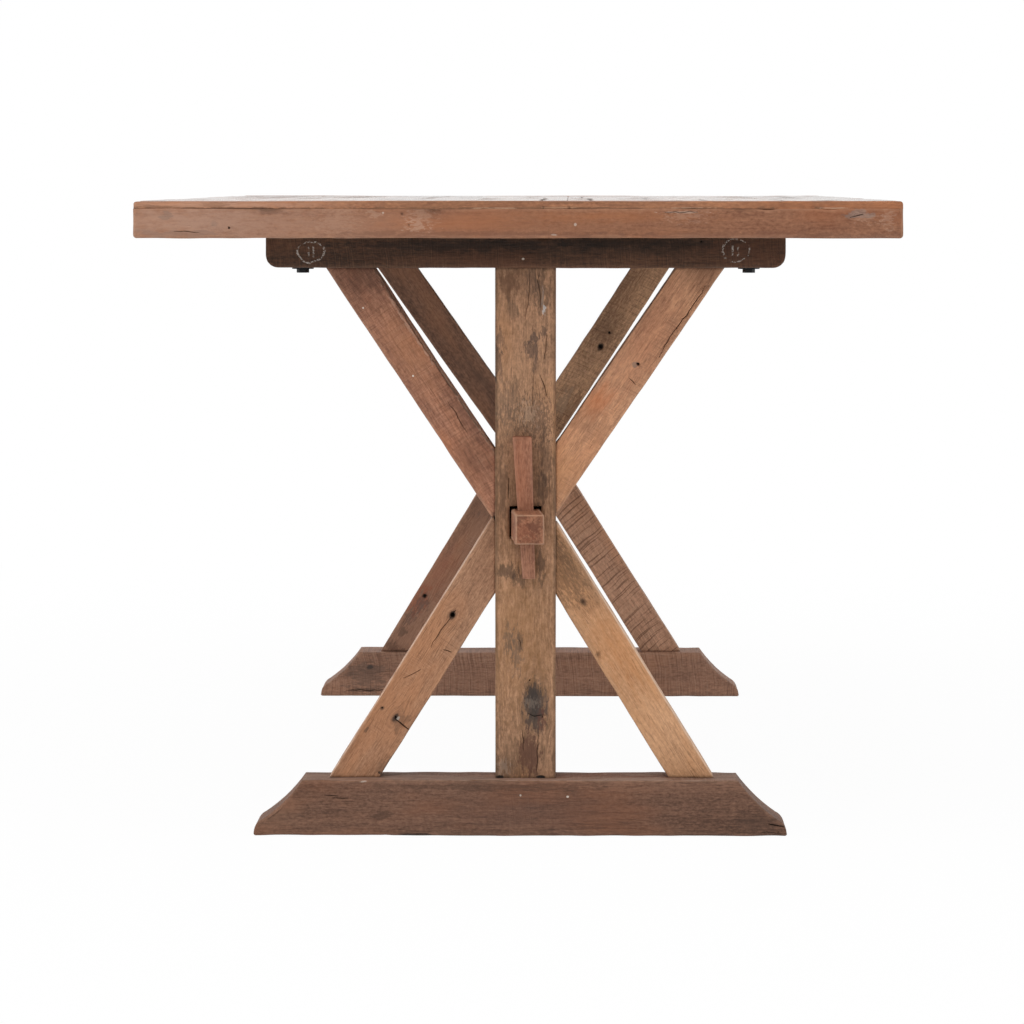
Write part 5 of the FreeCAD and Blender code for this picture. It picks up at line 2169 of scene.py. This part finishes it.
# The near trestle.
NEAR_MARKS = {
    "post": [
        knot(19, 160, 10, 2.0), knot(23, 147, 5, 1.6), dirt(19.5, 155, 31, 15, 0.8, 0.85, "#3f3733", 1.8),
        dirt(15, 170, 10, 7, 0.5, 2.0, "#2b2623", 2.4), dirt(20, 146, 8, 8, 0.5, 2.0, "#2b2623", 2.4),
        paint(15, 159, 5, 8, 0.3, 2.6, "#85766a", 2.8), dirt(28, 138, 14, 5, 0.5, 2.0, "#643c2f", 2.4),
        tint(18, 150, 60, 30, "#5d4938", 0.65), dirt(-13.2, 235, 16, 5, 0.45, 2.2, "#5a4e45", 2.4),
        dirt(-3, 220, 24, 6, 0.45, 2.2, "#5a4e45", 2.4), tint(2, 85, 65, 70, "#5a4434", 0.75),
        dirt(-16, 82, 10, 22, 0.35, 2.4, "#4c3a2e", 2.4), paint(-22, 79, 8, 10, 0.3, 2.6, "#a5907f", 2.8),
        tint(-4, 410, 120, 70, "#62452f", 0.6), tint(0, 240, 140, 80, "#7c552e", 0.6),
        tint(0, 680, 50, 70, "#6b4c38", 0.5), tint(-16, 600, 60, 16, "#c08a5e"),
        dirt(-23, 593, 12, 7, 0.4, 1.6, "#4a3f3c", 2.0), dirt(-26, 570, 18, 6, 0.5, 1.8, "#4a3f3c", 2.0),
        dirt(18, 599, 7, 6, 0.65, 1.8, "#473c3a", 2.0), dirt(15, 584, 11, 8, 0.55, 1.4, "#4a3f3c", 2.0),
        dirt(19, 567, 10, 3.5, 0.4, 1.4, "#4a3f3c", 2.0), dirt(29.5, 604, 7, 4, 0.5, 1.8, "#4a3f3c", 2.0),
        dirt(20, 502, 26, 20, 0.52, 2.4, "#44352f", 2.6),
        dirt(-12, 490, 22, 20, 0.32, 2.4, "#4b3b30", 2.4),
        dirt(-18, 518, 22, 16, 0.28, 2.4, "#57504a", 2.4), tint(0, 515, 60, 50, "#c39672"),
        paint(12, 507, 12, 10, 0.4, 2.6, "#b99a80", 2.8),
        dirt(-33, 552, 15, 6, 0.75, 1.5, "#463f3e", 2.0), dirt(-5, 530, 20, 12, 0.3, 1.6),
        dirt(-15, 318, 10, 11, 0.6, 1.4), dirt(2.3, 306, 7, 10, 0.5, 1.4),
        dirt(26, 325, 22, 5, 0.55, 1.3, fine=1.6), dirt(1, 232, 10, 4, 0.45, 1.3, fine=1.6),
        dirt(33, 450, 30, 8, 0.4, 1.6, fine=1.8), dirt(28, 415, 20, 7, 0.55, 1.6, "#3d2f26", 1.6),
        dirt(12.5, 97, 28, 14, 0.75, 1.0, "#54362b", 1.8), dirt(-19, 420, 40, 6, 0.35, 1.2),
        # Painted shade: near-black slivers at the post's foot corners, where the joint with the foot is
        # in shade.
        dirt(-23.5, 69, 2.2, 5, 1.0, 0.3, "#120e0b"), dirt(26.5, 69, 2.2, 6, 1.0, 0.3, "#120e0b"),
        dirt(-12, 664, 16, 12, 0.5, 1.2, "#5e402e"), dirt(28, 655, 24, 10, 0.5, 1.5, "#574538"),
        dirt(-8, 630, 12, 8, 0.35, 1.5, "#574a40"), paint(29.9, 632, 5, 1.8, 0.8, 1.8, "#d6d2ce", 2.6),
        paint(28.6, 646, 12, 1.3, 0.35, 2.0, "#a99c92", 2.0),
        dirt(18, 663, 20, 9, 0.35, 2.2, "#4f423c", 2.4), dirt(31, 612, 30, 3, 0.3, 2.0, "#5a463b", 2.0),
    ],
    "brace_upper_left": [
        paint(-187, 633.6, 1.2, 1.2, 1.0, 0.2, "#e4dad0"),
        # Painted shade: the lower side is painted dark, a dark band runs along the inner edge, and tints
        # darken the end at the post and the end under the top.
        paint(-127.2, 552.1, 1.2, 1.2, 1.0, 0.2, "#e4dad0"), SideTint(Side.LOWER, "#2c211b", 0.9),
        tint(-135, 585, 80, 30, "#b97f58", 0.45), tint(-55, 450, 50, 30, "#4a3127", 0.5),
        tint(-190, 675, 60, 50, "#4a3127", 0.7), tint(-70, 510, 90, 20, "#57392d", 0.5),
        paint(-131, 608.5, 60, 1.5, 0.6, 1.4, "#c09a84", 1.6),
        paint(-76, 530.5, 70, 1.2, 0.5, 1.4, "#c09a84", 1.6),
        dirt(-111.5, 585.2, 150, 2.4, 0.65, 0.9, "#3a271f", 1.8),
    ],
    "brace_upper_right": [
        tint(94, 523, 30, 22, "#bc6a3a", 0.6), tint(150, 585, 100, 30, "#d08a66", 0.3),
        tint(40, 430, 60, 40, "#b5804f"), dirt(138.4, 566, 4, 4, 0.6, 0.6, "#7d7168"),
        # Painted shade: the upper side is painted dark, and the upper end under the top is darkened.
        tint(220, 680, 40, 40, "#6a4632", 0.6), SideTint(Side.UPPER, "#33251c", 0.9),
        dirt(90, 490, 20, 30, 0.3, 1.3, "#8a6148"),
    ],
    "brace_lower_left": [
        # Painted highlight: the upper side is painted pale where light from above falls on it.
        knot(-80.1, 264.2, 4.5, 1.6), knot(-149, 140, 4.5, 1.6), SideTint(Side.UPPER, "#d9bda8", 0.8),
        dirt(-143, 133, 12, 8, 0.4, 1.4), paint(-146, 139, 3, 2, 0.5), dirt(-165, 151.6, 3, 3, 0.6),
        dirt(-183.9, 124.1, 6, 3, 0.5, 1.4), dirt(-163, 77.6, 12, 12, 0.35, 1.4),
        # Painted shade: a near-black sliver at the foot end, where the joint with the foot is in shade.
        dirt(-95, 300, 30, 10, 0.25, 1.4), dirt(-165.5, 71, 2, 6, 0.85, 0.6, "#1c1512"),
    ],
    "brace_lower_right": [
        # Painted highlight: the lower side, which faces up, is painted pale where light from above falls
        # on it.
        knot(77, 280.1, 4.5, 1.6), SideTint(Side.LOWER, "#dfc1a8", 0.85),
        dirt(85, 282, 18, 20, 0.3, 1.5, "#8d6a50"), dirt(50, 318, 40, 22, 0.45, 2.2, "#614a38", 2.4),
        tint(60, 325, 60, 34, "#7c5a3e", 0.6), tint(118, 225, 80, 40, "#bd7638", 0.35),
        dirt(44, 345, 26, 8, 0.4, 2.4, "#4f3b2c", 3.0), dirt(72, 300, 14, 24, 0.3, 2.4, "#6f5440", 3.0),
    ],
    "foot": [
        dirt(-164.4, 25.1, 14, 6, 0.5, 1.0, "#3f2e25"), paint(2.1, 48.9, 1.4, 1.4, 0.8),
        paint(58.7, 47.5, 1.6, 1.4, 0.9), dirt(285, 18, 30, 12, 0.4, 1.2, "#3f2e25"),
        # Painted shadow: a near-black line along the bottom edge, where the foot meets the floor.
        dirt(-123, 1.2, 22, 1.8, 0.9, 0.6, "#1c1512"), paint(-187, 65.5, 5, 1.4, 0.6, 1.2),
        tint(-300, 30, 60, 30, "#8a6853"), dirt(-20, 60, 120, 6, 0.35, 1.3, "#4f3a2e"),
        # Painted sheen: the top face is painted paler and greyer.
        tint(20, 28, 160, 36, "#4f3830", 0.45), SideTint(Side.UPPER, "#9c8576", 0.6),
    ],
    "cleat": [
        ring(-247.7, 701, 16.3), ring(257.4, 702.3, 16.3), paint(5, 692.7, 1.4, 1.4, 0.8),
        # Painted shadow of the top's overhang: the upper part of the cleat is darkened, and a band lower
        # down is a little lightened.
        tint(50, 711, 360, 24, "#1d140e", 0.7), dirt(-60, 709, 140, 7, 0.45, 1.2, "#1a120d"),
        dirt(140, 712, 100, 6, 0.4, 1.2, "#1a120d"), tint(-100, 689, 140, 10, "#704b36", 0.25),
    ],
}
NEAR_CUTS = {
    "post": [
        crack((13.6, 677), (11.5, 650), (7.4, 620), width=1.1, depth=1.4, dark=0.45),
        crack((22.4, 677), (24.6, 655), (26.4, 632), width=1.2, depth=1.6, dark=0.5),
        crack((33.5, 601.6), (32.2, 588), (31.2, 571.6), width=1.4, dark=0.55),
        crack((25, 554), (30, 542), (34, 526), width=1.2, dark=0.6),
        crack((18, 552), (16.5, 530), (15, 508), width=0.9, depth=1.4, dark=0.4),
        crack((23.5, 120), (21.5, 71.4), width=1.2), crack((4.5, 126), (5.2, 100), width=1, dark=0.55),
        crack((0, 236), (2, 226), width=1.2, dark=0.5), crack((-12, 430), (-12.5, 405), width=1.4),
        crack((11, 146), (20, 142), (33, 144), width=1.2, dark=0.7),
    ],
    "brace_upper_left": [
        crack((-85.7, 521.8), (-74.6, 505.1), (-69.1, 494), (-60.7, 481.5), width=1.1, dark=0.5),
        crack((-167.7, 673), (-112.8, 584.2), (-34.6, 470), width=1.4, depth=1.2, dark=0.35),
    ],
    "brace_upper_right": [
        crack((224, 661), (204.7, 631.3), (187.2, 608.2), (178.5, 595.4), (167.7, 574.9), width=1.6),
        hole(142.7, 566.5, 4.2), crack((131.7, 549.8), (140, 541.4), width=1),
    ],
    "brace_lower_left": [
        hole(-80.1, 264.2, 6.2, 8), crack((-80.1, 264.2), (-76, 270)),
        crack((-80.1, 264.2), (-95.2, 243.6), (-106, 225.4), width=1.1),
        crack((-91.5, 222.1), (-81, 219.2), width=1.2),
        crack((-139.7, 187.5), (-129.2, 192.7), (-118.7, 198.1), width=0.9),
        crack((-150.3, 139), (-141.2, 132.1), (-131.5, 124.2), width=2.4), hole(-165, 151.6, 2.2),
        hole(-148.4, 140.2, 3),
    ],
    "brace_lower_right": [
        chip(77, 280.1, 5, 2), chip(95.1, 216, 8, 3), hole(131.4, 141, 2),
    ],
    "foot": [
        crack((299.4, 15), (310, 13.5), (318.6, 11.4), width=2.2),
        crack((-234, 49), (-218, 48.5), width=0.8), crack((-226, 45.5), (-205, 45), width=0.8),
    ],
}
NEAR_BRACES = {
    "brace_upper_left": RED_BRACE,
    "brace_upper_right": TAN_BRACE,
    "brace_lower_left": OCHRE_BRACE,
    "brace_lower_right": LIGHT_BRACE,
}

# The far trestle.
FAR_MARKS = {
    "brace_upper_right": [
        knot(107.7, 533.7, 5, 1.5), dirt(61, 437, 35, 26, 0.45, 1.8, "#4f3a2c"),
        dirt(115, 560, 30, 20, 0.4, 1.3, "#5a4434"), paint(50, 450, 20, 12, 0.3, 1.8, "#b59a80"),
    ],
    "brace_lower_left": [
        knot(-160.5, 152.8, 4), dirt(-193.7, 98.3, 8, 7, 0.5, 1.2),
        dirt(-175, 150, 26, 16, 0.35, 1.5, "#9c4f33"), dirt(-60, 330, 40, 30, 0.35, 1.4, "#64524a"),
        dirt(-165, 141, 12, 9, 0.5, 1.8, "#564c47", 1.8),
        dirt(-182, 121, 12, 8, 0.4, 2.2, "#4f4440", 2.4),
        dirt(-207, 72, 8, 30, 0.45, 1.6, "#46362d", 1.8), tint(-135, 195, 70, 34, "#a0624a", 0.45),
        tint(-72, 300, 70, 40, "#594740", 0.5), dirt(-110, 245, 40, 5, 0.3, 2.2, "#5b4439", 2.4),
    ],
    "brace_lower_right": [
        dirt(60, 340, 30, 20, 0.35, 1.5, "#5d4536"),
    ],
    "foot": [
        knot(-243.8, 44.4, 4), dirt(-250, 33, 30, 22, 0.4, 1.6, "#4f4640"),
        # Painted sheen: the top face is painted paler and greyer.
        dirt(-250, 8.6, 35, 3, 0.5, 1.0), SideTint(Side.UPPER, "#a08a7c", 0.5),
    ],
}
FAR_CUTS = {
    "brace_upper_right": [
        hole(107.7, 533.7, 8.5, 6), hole(120.8, 555, 4.5),
    ],
    "brace_lower_left": [
        hole(-160.5, 152.8, 6),
    ],
    "foot": [
        crack((-281.1, 8.6), (-250, 9.2), (-219.9, 8.7)),
    ],
}
FAR_BRACES = {
    "brace_upper_left": DARK_BRACE,
    "brace_upper_right": OLIVE_BRACE,
    "brace_lower_left": BROWN_BRACE,
    "brace_lower_right": SAWN_BRACE,
}


# ---- the table


def main() -> None:
    """Builds the table's looks round the frame."""
    logging.basicConfig(level=logging.INFO, format="%(name)s: %(message)s")
    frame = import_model()
    survey = Survey(frame)
    Studio().build()
    TableTop(survey, TOP_MARKS, TOP_CUTS).build()
    Trestle(survey, End.NEAR, NEAR_MARKS, NEAR_CUTS, NEAR_BRACES).build()
    Trestle(survey, End.FAR, FAR_MARKS, FAR_CUTS, FAR_BRACES, FAR_FOOT_WOOD).build()
    StretcherAndKeys(survey).build()


if __name__ == "__main__":
    main()
